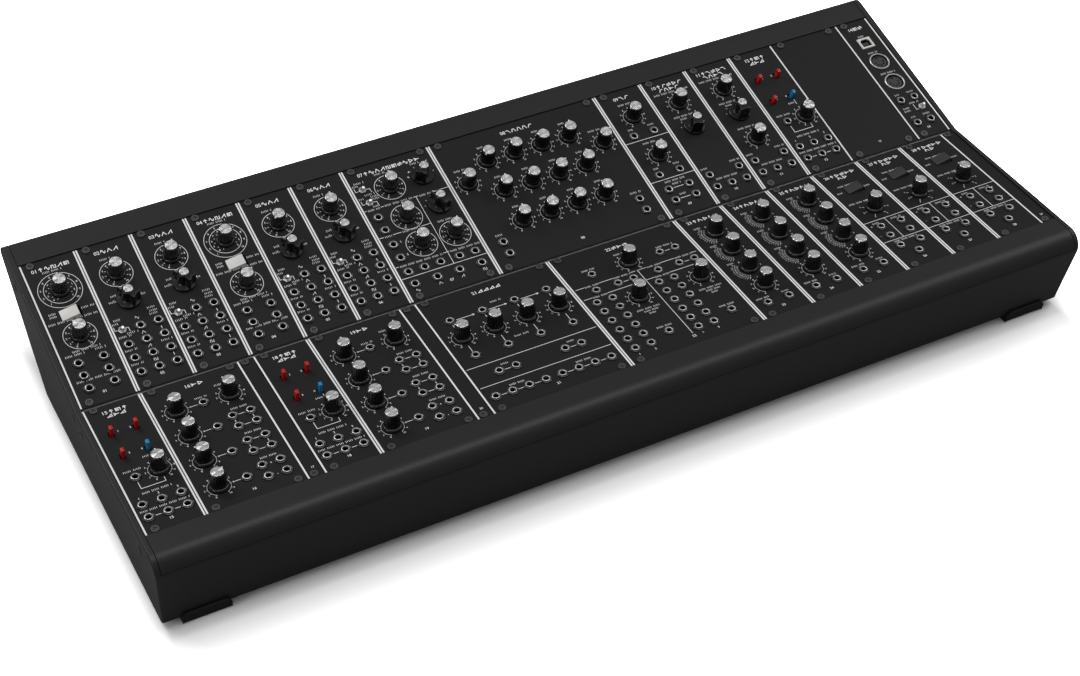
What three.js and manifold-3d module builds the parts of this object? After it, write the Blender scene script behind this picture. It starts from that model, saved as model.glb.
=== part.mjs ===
import * as THREE from 'three';
import { mergeVertices } from 'three/addons/utils/BufferGeometryUtils.js';
import Module from 'manifold-3d';

// Modular synthesizer in a low two-row case. Units are millimetres, +Z is up, the front faces -Y.
// Desk frame: Y runs back from the front edge of the lower row of panels, Z up from the face of that row.

const wasm = await Module();
wasm.setup();

// Rack format
const pitch = 5.08;
const rowPitches = 140;
const panelHeight = 128.5;
const panelThickness = 2;
const panelGap = 0.4;
const rowGapRun = 2.45;
const rowGapRise = 0.4;
const upperTilt = THREE.MathUtils.degToRad(15.2);

// Case
const cheekGap = 0.4;
const cheekThickness = 4;
const rimProud = 0.8;
const caseDepthBelow = 68;
const sideDraft = 2.6;
const frontFootY = -14.5;
const frontLean = THREE.MathUtils.degToRad(12.3);
const hoodDepth = 34;
const rearLean = THREE.MathUtils.degToRad(26);
const noseRadius = 12.5;
const rearTopRadius = 8;
const frontBottomRadius = 5;
const rearBottomRadius = 4;
const cheekEdgeRound = 1.2;
const wall = 2;
const seamGap = 0.4;
const noseSeamDrop = 10.8;
const hoodSeamRise = 18;
const lapDepth = 7;
const lapThickness = 1.6;
const cutOverrun = 30;

// Feet
const footLength = 34;
const footWidth = 22;
const footCentreX = 327.5;
const footDrop = 4;
const footProud = 1.8;
const footLap = 6.5;
const footRound = 5;
const footGap = 0.3;

// Module rails
const railWidth = 7.4;
const railHeight = 9;
const railSlotWidth = 2.6;
const railSlotDepth = 6;
const railInset = 0.4;
const seatGap = 0.3;

// Boards behind the panels
const boardMargin = 9.6;
const boardDepth = 8;
const boardInset = 1.4;
const weld = 1;

// Small round sockets
const jackNutRadius = 4;
const jackNutHeight = 1.5;
const jackBoreRadius = 1.75;
const jackBoreDepth = 8.5;
const jackNutSides = 5;
const jackBoreSides = 4;

// Knobs
const knobSides = 8;
const knobHeight = 13.5;
const knobCapRadius = 4.7;
const knobRootRadius = 6.9;
const knobLift = 0.4;
const shaftRadius = 3;
const shaftDepth = 7;
const shaftClearance = 0.5;
const shaftWeld = 1;

// Rotary selectors: round skirt, waisted grip across it and a cap in the middle
const selectorSides = 10;
const selectorHeight = 14;
const selectorCapRadius = 3.8;
const selectorSkirtRadius = 9.2;
const selectorSkirtHeight = 2;
const selectorGripHeight = 10.5;
const selectorGripReach = 8.4;
const selectorGripEnd = 3.7;
const selectorGripWaist = 2.5;

// Rockers
const rockerWidth = 13;
const rockerLength = 9;
const rockerRise = 2;
const rockerSkirt = 1.2;
const rockerBelly = 6;
const rockerBellyHalf = 2.3;
const rockerPivotDepth = 2.5;
const rockerTilt = THREE.MathUtils.degToRad(12);
const rockerClearance = 1.1;
const rockerEndClearance = 0.4;
const rockerPocketDepth = 7.8;

// Paddle levers
const leverWidth = 2.8;
const leverThickness = 3.3;
const leverHeight = 9.5;
const leverTail = 2;
const leverPivotDepth = 4;
const leverTilt = THREE.MathUtils.degToRad(8);
const leverClearance = 0.5;
const leverPocketDepth = 7.6;

// Toggles
const toggleNutRadius = 3.2;
const toggleNutHeight = 1.2;
const toggleNutSides = 6;
const toggleBushRadius = 2.3;
const toggleBushHeight = 2;
const toggleBatHeight = 4.6;
const toggleBatTipRadius = 1.15;
const toggleBatRootRadius = 0.75;
const toggleBatTail = 1.6;
const togglePivotHeight = 0.8;
const toggleTilt = THREE.MathUtils.degToRad(12);
const toggleSides = 6;
const toggleBoreRadius = 1.6;
const toggleBoreDepth = 1.7;

// Digital sockets
const roundSocketRadius = 8.4;
const roundSocketBore = 7;
const roundSocketCore = 5.6;
const roundSocketProud = 1;
const roundSocketDepth = 6;
const roundSocketSides = 12;
const squareSocketWidth = 12.5;
const squareSocketHeight = 11.4;
const squareSocketProud = 1.2;
const squareMouthWidth = 8.5;
const squareMouthHeight = 7.4;
const squareMouthChamfer = 1.8;
const squareTongueWidth = 5.6;
const squareTongueHeight = 3.2;
const squareMouthDepth = 8;

// Power board on the floor of the case
const busLength = 520;
const busWidth = 92;
const busThickness = 1.6;
const busStandoffHeight = 5;
const busStandoffRadius = 3;
const busHeaderLength = 24;
const busHeaderWidth = 6;
const busHeaderHeight = 9;
const busHeaderCount = 10;
const busHeaderRowGap = 30;
const regulatorLength = 60;
const regulatorWidth = 30;
const regulatorHeight = 14;
const standoffMarginShare = 0.06;

// Power inlet and switch on the rear wall
const inletX = -250;
const inletUp = 44;
const inletPlateWidth = 46;
const inletPlateHeight = 20;
const inletPlateThickness = 2;
const inletBodyWidth = 38;
const inletBodyHeight = 15;
const inletBodyDepth = 14;
const inletJackShift = -11;
const inletJackRadius = 5.4;
const inletJackProud = 2;
const inletJackBore = 3.2;
const inletJackPin = 1;
const inletJackDepth = 9;
const inletSides = 12;
const switchShift = 9;

// Finishes
const finish = (color, roughness, metalness) => new THREE.MeshStandardMaterial({ color, roughness, metalness });
const powderCoat = finish(0x2e2e2f, 0.62, 0.3);
const panelBlack = finish(0x242425, 0.5, 0.3);
const rubberBlack = finish(0x161616, 0.85, 0);
const railAluminium = finish(0xb4b7ba, 0.4, 0.9);
const boardGreen = finish(0x1f5a36, 0.5, 0.1);
const plasticBlack = finish(0x181818, 0.4, 0);
const plasticWhite = finish(0xe9e8e4, 0.35, 0);
const plasticRed = finish(0xc4161c, 0.3, 0);
const plasticBlue = finish(0x0b76a8, 0.3, 0);
const steelBright = finish(0xc9cbcd, 0.25, 0.95);

// Derived sizes
const rowWidth = rowPitches * pitch;
const innerHalf = rowWidth / 2 + cheekGap;
const outerHalf = innerHalf + cheekThickness;
const draftSlope = sideDraft / caseDepthBelow;
const floorTop = wall - caseDepthBelow;
const rearFaceAngle = Math.PI / 2 - rearLean;

// Outline helpers, all in the desk frame as [y, z]
function desk(row, up, out) {
  if (row === 'lower') return [up, out];
  return [
    panelHeight + rowGapRun + up * Math.cos(upperTilt) - out * Math.sin(upperTilt),
    rowGapRise + up * Math.sin(upperTilt) + out * Math.cos(upperTilt),
  ];
}

function meet(p, angleP, q, angleQ) {
  const across = Math.sin(angleQ - angleP);
  const t = ((q[0] - p[0]) * Math.sin(angleQ) - (q[1] - p[1]) * Math.cos(angleQ)) / across;
  return [p[0] + t * Math.cos(angleP), p[1] + t * Math.sin(angleP)];
}

function rounded(corners, steps) {
  const out = [];
  corners.forEach(([y, z, radius], i) => {
    if (!radius) {
      out.push([y, z]);
      return;
    }
    const here = new THREE.Vector2(y, z);
    const before = new THREE.Vector2(...corners[(i + corners.length - 1) % corners.length]).sub(here).normalize();
    const after = new THREE.Vector2(...corners[(i + 1) % corners.length]).sub(here).normalize();
    const half = Math.acos(before.dot(after)) / 2;
    const centre = before.clone().add(after).normalize().multiplyScalar(radius / Math.sin(half)).add(here);
    const from = before.multiplyScalar(radius / Math.tan(half)).add(here).sub(centre);
    const to = after.multiplyScalar(radius / Math.tan(half)).add(here).sub(centre);
    const sweep = Math.atan2(from.cross(to), from.dot(to));
    for (let k = 0; k <= steps; k += 1) {
      const point = from.clone().rotateAround(new THREE.Vector2(), (sweep * k) / steps).add(centre);
      out.push([point.x, point.y]);
    }
  });
  return out;
}

const frontY = (z) => frontFootY - (z + caseDepthBelow) * Math.tan(frontLean);
const noseCorner = [frontY(rimProud), rimProud];
const crease = meet([0, rimProud], 0, desk('upper', 0, rimProud), upperTilt);
const rearCorner = desk('upper', panelHeight + hoodDepth, rimProud);
const rearFootY = rearCorner[0] - (rearCorner[1] + caseDepthBelow) * Math.tan(rearLean);
const rearY = (z) => rearFootY + (z + caseDepthBelow) * Math.tan(rearLean);
const noseSteps = 6;
const smallSteps = 3;

// Solids
function solid(geometry) {
  const bare = geometry.clone();
  Object.keys(bare.attributes).filter((name) => name !== 'position').forEach((name) => bare.deleteAttribute(name));
  const merged = mergeVertices(bare);
  return new wasm.Manifold(new wasm.Mesh({
    numProp: 3,
    vertProperties: new Float32Array(merged.attributes.position.array),
    triVerts: new Uint32Array(merged.index.array),
  }));
}

function joined(geometries) {
  return geometries.map(solid).reduce((sum, next) => sum.add(next));
}

function geometryOf(result) {
  const mesh = result.getMesh();
  const geometry = new THREE.BufferGeometry();
  geometry.setAttribute('position', new THREE.BufferAttribute(mesh.vertProperties, mesh.numProp));
  geometry.setIndex(new THREE.BufferAttribute(mesh.triVerts, 1));
  geometry.computeVertexNormals();
  return geometry;
}

function cutFrom(bodies, cutters) {
  const body = joined(bodies);
  return geometryOf(cutters.length ? body.subtract(joined(cutters)) : body);
}

const alongX = new THREE.Matrix4().makeBasis(
  new THREE.Vector3(0, 1, 0), new THREE.Vector3(0, 0, 1), new THREE.Vector3(1, 0, 0));

function prism(points, length, bevel = 0) {
  const shape = new THREE.Shape(points.map(([a, b]) => new THREE.Vector2(a, b)));
  return new THREE.ExtrudeGeometry(shape, {
    depth: length - 2 * bevel,
    bevelEnabled: bevel > 0,
    bevelThickness: bevel,
    bevelSize: bevel,
    bevelOffset: -bevel,
    bevelSegments: 1,
  }).translate(0, 0, bevel - length / 2);
}

const barX = (points, length, bevel = 0) => prism(points, length, bevel).applyMatrix4(alongX);

function block(low, high) {
  const size = high.map((value, i) => value - low[i]);
  const middle = high.map((value, i) => (value + low[i]) / 2);
  return new THREE.BoxGeometry(...size).translate(...middle);
}

function revolve(profile, sides) {
  const points = profile.map(([r, z]) => new THREE.Vector2(r, z));
  return new THREE.LatheGeometry(points, sides).rotateX(Math.PI / 2);
}

function drum(radius, low, high, sides) {
  return revolve([[0, low], [radius, low], [radius, high], [0, high]], sides);
}

const synthesizer = new THREE.Group();
const deskFrame = new THREE.Group();
synthesizer.add(deskFrame);

function place(parent, name, geometry, material, position = [0, 0, 0], turn = [0, 0, 0]) {
  const mesh = new THREE.Mesh(geometry, material);
  mesh.name = name;
  mesh.position.set(...position);
  mesh.rotation.set(...turn);
  parent.add(mesh);
}

// Case outline, seen from the side
const frontInnerY = (z) => frontY(z) + wall / Math.cos(frontLean);
const rearInnerY = (z) => rearY(z) - wall / Math.cos(rearLean);
const caseOutline = [
  ...rounded([[frontFootY, -caseDepthBelow, frontBottomRadius], [rearFootY, -caseDepthBelow, rearBottomRadius],
    [...rearCorner, rearTopRadius], crease, [...noseCorner, noseRadius]], noseSteps),
];
const rimUnder = rimProud - wall;
const insideOutline = rounded([
  [frontInnerY(floorTop), floorTop],
  [rearInnerY(floorTop), floorTop],
  [...meet([rearInnerY(floorTop), floorTop], rearFaceAngle, desk('upper', 0, rimUnder), upperTilt),
    rearTopRadius - wall],
  meet([0, rimUnder], 0, desk('upper', 0, rimUnder), upperTilt),
  [frontInnerY(rimUnder), rimUnder, noseRadius - wall],
], noseSteps);
const crown = rearCorner[1] + cutOverrun;
const frontMost = Math.min(...caseOutline.map(([y]) => y));
const rearMost = Math.max(...caseOutline.map(([y]) => y));
deskFrame.position.set(0, -(frontMost + rearMost) / 2, caseDepthBelow + footDrop);

// Frame on the outer face of the rear wall, its own Z pointing out of the wall
const rearFrame = new THREE.Group();
const inletZ = inletUp - caseDepthBelow;
rearFrame.position.set(inletX, rearY(inletZ), inletZ);
rearFrame.rotation.set(-(Math.PI / 2 + rearLean), 0, Math.PI);
rearFrame.updateMatrix();
deskFrame.add(rearFrame);

function drafted(geometry) {
  const places = geometry.attributes.position;
  for (let i = 0; i < places.count; i += 1) {
    places.setX(i, places.getX(i) + Math.sign(places.getX(i)) * draftSlope * places.getZ(i));
  }
  return geometry;
}

// Case shell: floor, low front wall, slanted rear wall and both cheeks
function caseShell() {
  const cavity = barX([
    [frontInnerY(floorTop), floorTop],
    [rearInnerY(floorTop), floorTop],
    [rearInnerY(hoodSeamRise), hoodSeamRise],
    [rearMost + cutOverrun, hoodSeamRise],
    [rearMost + cutOverrun, crown],
    [frontMost - cutOverrun, crown],
    [frontMost - cutOverrun, -noseSeamDrop],
    [frontInnerY(-noseSeamDrop), -noseSeamDrop],
  ], 2 * innerHalf);
  const inletHole = block(
    [-inletBodyWidth / 2 - seamGap, -inletBodyHeight / 2 - seamGap, -wall - weld],
    [inletBodyWidth / 2 + seamGap, inletBodyHeight / 2 + seamGap, weld],
  ).applyMatrix4(rearFrame.matrix);
  const hollow = cutFrom([drafted(barX(caseOutline, 2 * outerHalf, cheekEdgeRound))], [cavity, inletHole]);
  const standoffs = busStandoffs.map(([x, y]) => drum(
    busStandoffRadius, floorTop - weld, floorTop + busStandoffHeight, knobSides).translate(x, y, 0));
  return cutFrom([hollow, ...standoffs], []);
}

// Rounded front rest and rear hood: sheet between the cheeks with a lip that laps inside the wall below
const insertLength = 2 * (innerHalf - seamGap);

function sheetInsert(region, lip) {
  const skin = solid(barX(caseOutline, insertLength)).subtract(solid(barX(insideOutline, insertLength)));
  return geometryOf(skin.intersect(solid(barX(region, insertLength))).add(solid(barX(lip, insertLength))));
}

function frontRest() {
  const seam = seamGap - noseSeamDrop;
  const lapEnd = -noseSeamDrop - lapDepth;
  const region = [[frontMost - cutOverrun, seam], [-seatGap, seam], [-seatGap, crown], [frontMost - cutOverrun, crown]];
  const lip = [
    [frontY(seam) + wall / 2, seam],
    [frontInnerY(seam) + seatGap, seam],
    [frontInnerY(lapEnd) + seatGap, lapEnd],
    [frontInnerY(lapEnd) + seatGap + lapThickness, lapEnd],
    [frontInnerY(seam) + seatGap + lapThickness, seam + lapThickness],
    [frontY(seam) + wall / 2, seam + lapThickness],
  ];
  return sheetInsert(region, lip);
}

function rearHood() {
  const seam = hoodSeamRise + seamGap;
  const lapEnd = hoodSeamRise - lapDepth;
  const edge = panelHeight + seatGap;
  const edgeOut = (seam - rowGapRise - edge * Math.sin(upperTilt)) / Math.cos(upperTilt);
  const far = rearMost + cutOverrun;
  const region = [desk('upper', edge, edgeOut), [far, seam], [far, crown], desk('upper', edge, cutOverrun)];
  const lip = [
    [rearY(seam) - wall / 2, seam],
    [rearInnerY(seam) - seatGap, seam],
    [rearInnerY(lapEnd) - seatGap, lapEnd],
    [rearInnerY(lapEnd) - seatGap - lapThickness, lapEnd],
    [rearInnerY(seam) - seatGap - lapThickness, seam + lapThickness],
    [rearY(seam) - wall / 2, seam + lapThickness],
  ];
  return sheetInsert(region, lip);
}

// Rubber feet: each lies under the floor and laps up the wall
function foot(faceY, outward, lean, edgeRadius) {
  const top = footLap - caseDepthBelow;
  const seat = -caseDepthBelow - footGap;
  const bottom = -caseDepthBelow - footDrop;
  const inner = (z) => faceY(z) + (outward * footGap) / Math.cos(lean);
  const outer = (z) => inner(z) + outward * footProud;
  const section = rounded([
    [inner(top), top],
    [inner(seat), seat, edgeRadius + footGap],
    [inner(seat) - outward * footWidth, seat],
    [inner(seat) - outward * footWidth, bottom],
    [outer(bottom), bottom, footProud],
    [outer(top), top],
  ], smallSteps);
  const far = rearMost + cutOverrun;
  const half = footLength / 2;
  const front = prism(rounded([[-half, bottom], [half, bottom], [half, top, footRound], [-half, top, footRound]],
    smallSteps), 2 * far).rotateX(Math.PI / 2);
  return geometryOf(solid(barX(section, footLength)).intersect(solid(front)));
}

// Module rails: aluminium bars with a slot for the panel screws
const trackOut = -(panelThickness + seatGap);
const rearTrackLow = panelHeight - railInset - railWidth;

function track(row, low) {
  const slotLow = low + (railWidth - railSlotWidth) / 2;
  const slotHigh = slotLow + railSlotWidth;
  return [
    desk(row, low, trackOut),
    desk(row, slotLow, trackOut), desk(row, slotLow, trackOut - railSlotDepth),
    desk(row, slotHigh, trackOut - railSlotDepth), desk(row, slotHigh, trackOut),
    desk(row, low + railWidth, trackOut),
  ];
}

function rail(topPoints, ends) {
  const under = ends.map(([row, up]) => desk(row, up, trackOut - railHeight));
  return barX([...topPoints, ...under], 2 * (innerHalf - seatGap));
}

// Power board on standoffs, with two rows of headers and a regulator block
const busShares = [-0.5 + standoffMarginShare, 0.5 - standoffMarginShare];
const busCentreY = (frontFootY + rearFootY) / 2;
const busStandoffs = busShares.flatMap((x) => busShares.map((y) => [x * busLength, busCentreY + y * busWidth]));

function powerBoard() {
  const low = floorTop + busStandoffHeight + seatGap;
  const top = low + busThickness;
  const bodies = [block([-busLength / 2, -busWidth / 2, low], [busLength / 2, busWidth / 2, top])];
  const step = (busLength - regulatorLength) / busHeaderCount;
  for (let i = 0; i < busHeaderCount; i += 1) {
    const x = regulatorLength - busLength / 2 + step * (i + 1 / 2);
    [-busHeaderRowGap / 2, busHeaderRowGap / 2].forEach((y) => bodies.push(block(
      [x - busHeaderLength / 2, y - busHeaderWidth / 2, top - busThickness / 2],
      [x + busHeaderLength / 2, y + busHeaderWidth / 2, top + busHeaderHeight])));
  }
  const regulatorX = (regulatorLength - busLength) / 2;
  bodies.push(block([regulatorX - regulatorWidth / 2, -regulatorLength / 2, top - busThickness / 2],
    [regulatorX + regulatorWidth / 2, regulatorLength / 2, top + regulatorHeight]));
  return cutFrom(bodies, []);
}

// Controls. Each is made about its own pivot or seat, with Z out of the panel
const rockerHalf = rockerWidth / 2;
const rockerPocketHalf = rockerHalf + rockerClearance;
const leverSweep = leverThickness / 2 / Math.cos(leverTilt) + leverPivotDepth * Math.tan(leverTilt) + leverClearance;

const shaft = () => drum(shaftRadius, -shaftDepth, knobLift + shaftWeld, knobSides);
const shaftHole = () => drum(shaftRadius + shaftClearance, -shaftDepth - seatGap, weld, knobSides);

const knob = (low) => [
  revolve([[0, low], [knobRootRadius, low], [knobCapRadius, knobHeight], [0, knobHeight]], knobSides)];

function selector(low) {
  const [reach, end, waist] = [selectorGripReach, selectorGripEnd, selectorGripWaist];
  const grip = prism([[end, -reach], [waist, 0], [end, reach], [-end, reach], [-waist, 0], [-end, -reach]],
    selectorGripHeight - selectorSkirtHeight / 2);
  return [
    drum(selectorSkirtRadius, low, selectorSkirtHeight, selectorSides),
    grip.translate(0, 0, selectorGripHeight / 2 + selectorSkirtHeight / 4),
    drum(selectorCapRadius, selectorSkirtHeight / 2, selectorHeight, knobSides),
  ];
}

function rocker() {
  return prism([
    [-rockerHalf, rockerRise], [rockerHalf, rockerRise], [rockerHalf, -rockerSkirt],
    [rockerBellyHalf, -rockerBelly], [-rockerBellyHalf, -rockerBelly], [-rockerHalf, -rockerSkirt],
  ], rockerLength).rotateX(Math.PI / 2).translate(0, 0, rockerPivotDepth);
}

const rockerPocket = () => block([-rockerPocketHalf, -rockerLength / 2 - rockerEndClearance, -rockerPocketDepth],
  [rockerPocketHalf, rockerLength / 2 + rockerEndClearance, weld]);

const lever = () => block([-leverWidth / 2, -leverThickness / 2, -leverTail],
  [leverWidth / 2, leverThickness / 2, leverPivotDepth + leverHeight]);

const leverPocket = () => block([-leverWidth / 2 - leverClearance, -leverSweep, -leverPocketDepth],
  [leverWidth / 2 + leverClearance, leverSweep, weld]);

const bat = () => revolve([[0, -toggleBatTail], [toggleBatRootRadius, -toggleBatTail], [toggleBatRootRadius, 0],
  [toggleBatTipRadius, toggleBatHeight], [0, toggleBatHeight]], toggleSides);

// Each kind of control: its moving solid, where its pivot lies, its turn at rest, what the panel gains and loses
const kinds = {
  knob: {
    moving: () => cutFrom([shaft(), ...knob(knobLift)], []), fixed: () => cutFrom(knob(-weld), []),
    pivot: 0, turn: [0, 0, 0], material: plasticBlack, gains: [], loses: shaftHole,
  },
  selector: {
    moving: () => cutFrom([shaft(), ...selector(knobLift)], []), fixed: () => cutFrom(selector(-weld), []),
    pivot: 0, turn: [0, 0, 0], material: plasticBlack, gains: [], loses: shaftHole,
  },
  rocker: {
    moving: rocker, fixed: rocker, pivot: -rockerPivotDepth, turn: [0, -rockerTilt, 0], material: plasticBlack,
    gains: [], loses: rockerPocket,
  },
  lever: {
    moving: lever, fixed: lever, pivot: -leverPivotDepth, turn: [leverTilt, 0, 0], material: plasticRed,
    gains: [], loses: leverPocket,
  },
  toggle: {
    moving: bat, fixed: bat, pivot: togglePivotHeight, turn: [toggleTilt, 0, 0], material: steelBright,
    gains: [() => drum(toggleNutRadius, -weld, toggleNutHeight, toggleNutSides),
      () => drum(toggleBushRadius, -weld, toggleBushHeight, toggleNutSides)],
    loses: () => drum(toggleBoreRadius, -toggleBoreDepth, toggleBushHeight + weld, toggleNutSides),
  },
};

// Layouts: every place is a share of the module's width and of the panel's height
const grid = (columnShares, rowShares) => columnShares.flatMap((x) => rowShares.map((up) => [x, up]));

const driver = {
  pitches: 8,
  jackShares: grid([0.281, 0.719], [0.277, 0.192, 0.107]),
  controlShares: {
    frequency_knob: ['knob', 0.5, 0.772], range_rocker: ['rocker', 0.5, 0.603, plasticWhite],
    width_knob: ['knob', 0.5, 0.451],
  },
};
const oscillator = {
  pitches: 8,
  jackShares: [...grid([0.182], [0.297, 0.202, 0.107]), ...grid([0.5, 0.818], [0.393, 0.297, 0.202, 0.107])],
  controlShares: {
    frequency_knob: ['knob', 0.5, 0.772], range_selector: ['selector', 0.5, 0.578],
    drive_toggle: ['toggle', 0.182, 0.398],
  },
};
const wideOscillator = {
  pitches: 14,
  jackShares: [...grid([0.126], [0.613, 0.515, 0.404, 0.305]),
    ...grid([0.126, 0.306, 0.485, 0.698, 0.874], [0.198]), ...grid([0.126, 0.375, 0.625, 0.874], [0.11])],
  controlShares: {
    upper_toggle: ['toggle', 0.121, 0.83], lower_toggle: ['toggle', 0.121, 0.729],
    scale_knob: ['knob', 0.407, 0.798], frequency_knob: ['knob', 0.407, 0.563], width_knob: ['knob', 0.407, 0.358],
    level_knob: ['knob', 0.786, 0.358], range_selector: ['selector', 0.786, 0.805],
    wave_selector: ['selector', 0.786, 0.576],
  },
};
const bankColumnShares = [0.257, 0.419, 0.581, 0.743];
const bankRowShares = [0.776, 0.539, 0.302];
const filterBank = {
  pitches: 28,
  jackShares: grid([0.098, 0.902], [0.198, 0.112]),
  controlShares: {
    low_pass_knob: ['knob', 0.096, 0.659], high_pass_knob: ['knob', 0.904, 0.659],
    ...Object.fromEntries(grid(bankColumnShares, bankRowShares).map((at, i) => [`band_${i + 1}_knob`, ['knob', ...at]])),
  },
};
const filterPair = {
  pitches: 8,
  jackShares: grid([0.281, 0.719], [0.637, 0.315, 0.199, 0.113]),
  controlShares: { upper_knob: ['knob', 0.5, 0.778], lower_knob: ['knob', 0.5, 0.454] },
};
const highPass = {
  pitches: 8,
  jackShares: [...grid([0.179, 0.821], [0.208, 0.113]), [0.5, 0.113]],
  controlShares: { cutoff_knob: ['knob', 0.5, 0.778], range_selector: ['selector', 0.5, 0.578] },
};
const lowPass = {
  ...highPass,
  controlShares: { ...highPass.controlShares, regeneration_knob: ['knob', 0.5, 0.36] },
};
const controller = {
  pitches: 8,
  jackShares: [[0.288, 0.411], ...grid([0.179, 0.5, 0.821], [0.207, 0.112])],
  controlShares: {
    lever_1: ['lever', 0.269, 0.768], lever_2: ['lever', 0.688, 0.768], lever_3: ['lever', 0.269, 0.585],
    lever_4: ['lever', 0.688, 0.585, plasticBlue], attenuator_knob: ['knob', 0.7, 0.416],
  },
};
const digitalInterface = {
  pitches: 6,
  jackShares: grid([0.292, 0.708], [0.308, 0.116]),
  roundSocketShares: [[0.5, 0.64], [0.5, 0.458]],
  squareSocketShares: [[0.5, 0.805]],
  controlShares: { mode_toggle: ['toggle', 0.708, 0.22] },
};
const mixerRowShares = [0.778, 0.571, 0.364, 0.157];
const mixer = {
  pitches: 14,
  jackShares: [...grid([0.493], mixerRowShares), ...grid([0.671, 0.85], [0.612, 0.525, 0.405, 0.318, 0.2, 0.112])],
  controlShares: {
    master_knob: ['knob', 0.764, 0.778],
    ...Object.fromEntries(mixerRowShares.map((up, i) => [`input_${i + 1}_knob`, ['knob', 0.225, up]])),
  },
};
const attenuatorColumnShares = [0.143, 0.381, 0.619, 0.857];
const attenuators = {
  pitches: 21,
  jackShares: [...grid(attenuatorColumnShares, [0.781, 0.462]), ...grid([0.21, 0.331, 0.688, 0.808], [0.29]),
    ...grid([0.083, 0.202, 0.321, 0.44, 0.559, 0.678, 0.797, 0.916], [0.118])],
  controlShares: Object.fromEntries(
    attenuatorColumnShares.map((x, i) => [`attenuator_${i + 1}_knob`, ['knob', x, 0.623]])),
};
const interfaceModule = {
  pitches: 21,
  jackShares: [[0.205, 0.78], [0.736, 0.781], [0.857, 0.781],
    ...grid([0.152, 0.319, 0.438, 0.629, 0.795, 0.914], [0.645]),
    ...grid([0.093, 0.211, 0.569, 0.687], [0.547, 0.462, 0.377, 0.289, 0.203, 0.118]),
    ...grid([0.376, 0.855], [0.161])],
  controlShares: {
    master_knob: ['knob', 0.495, 0.782], left_knob: ['knob', 0.374, 0.486], right_knob: ['knob', 0.85, 0.486],
  },
};
const envelope = {
  pitches: 8,
  jackShares: grid([0.281, 0.719], [0.118]),
  controlShares: {
    attack_knob: ['knob', 0.5, 0.793], decay_knob: ['knob', 0.5, 0.609], release_knob: ['knob', 0.5, 0.426],
    sustain_knob: ['knob', 0.5, 0.26],
  },
};
const amplifier = {
  pitches: 8,
  jackShares: [...grid([0.281, 0.719], [0.401, 0.307, 0.206]), [0.5, 0.121]],
  controlShares: { response_rocker: ['rocker', 0.5, 0.782], gain_knob: ['knob', 0.5, 0.568] },
};
const blank = (pitches) => ({ pitches, jackShares: [], controlShares: {} });

const rows = {
  upper: [
    ['driver_1', driver], ['oscillator_1', oscillator], ['oscillator_2', oscillator], ['driver_2', driver],
    ['oscillator_3', oscillator], ['oscillator_4', oscillator], ['wide_oscillator', wideOscillator],
    ['filter_bank', filterBank], ['filter_pair', filterPair], ['high_pass_filter', highPass],
    ['low_pass_filter', lowPass], ['control_voltages', controller], ['blank_panel_wide', blank(12)],
    ['digital_interface', digitalInterface],
  ],
  lower: [
    ['controller_1', controller], ['mixer_1', mixer], ['blank_panel_1', blank(2)], ['controller_2', controller],
    ['mixer_2', mixer], ['blank_panel_2', blank(2)], ['attenuators', attenuators], ['interface', interfaceModule],
    ['envelope_1', envelope], ['envelope_2', envelope], ['envelope_3', envelope], ['amplifier_1', amplifier],
    ['amplifier_2', amplifier], ['amplifier_3', amplifier], ['blank_panel_3', blank(2)],
  ],
};

// Modules whose controls are pieces of their own; on the others the controls are one with their panel
const workingModules = ['driver_1', 'oscillator_1', 'digital_interface', 'controller_1', 'envelope_1', 'amplifier_1'];

function roundSocket() {
  return {
    gains: drum(roundSocketRadius, -weld, roundSocketProud, roundSocketSides),
    loses: cutFrom([drum(roundSocketBore, -roundSocketDepth, roundSocketProud + weld, roundSocketSides)],
      [drum(roundSocketCore, -roundSocketDepth - weld, 0, roundSocketSides)]),
  };
}

function squareSocket() {
  const [w, h, c] = [squareMouthWidth / 2, squareMouthHeight / 2, squareMouthChamfer];
  const mouth = prism([[-w, -h], [w, -h], [w, h - c], [w - c, h], [c - w, h], [-w, h - c]],
    squareMouthDepth + squareSocketProud + weld).translate(0, 0, (squareSocketProud + weld - squareMouthDepth) / 2);
  const tongue = block([-squareTongueWidth / 2, -squareTongueHeight / 2, -squareMouthDepth - weld],
    [squareTongueWidth / 2, squareTongueHeight / 2, 0]);
  return {
    gains: block([-squareSocketWidth / 2, -squareSocketHeight / 2, -weld],
      [squareSocketWidth / 2, squareSocketHeight / 2, squareSocketProud]),
    loses: cutFrom([mouth], [tongue]),
  };
}

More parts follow.
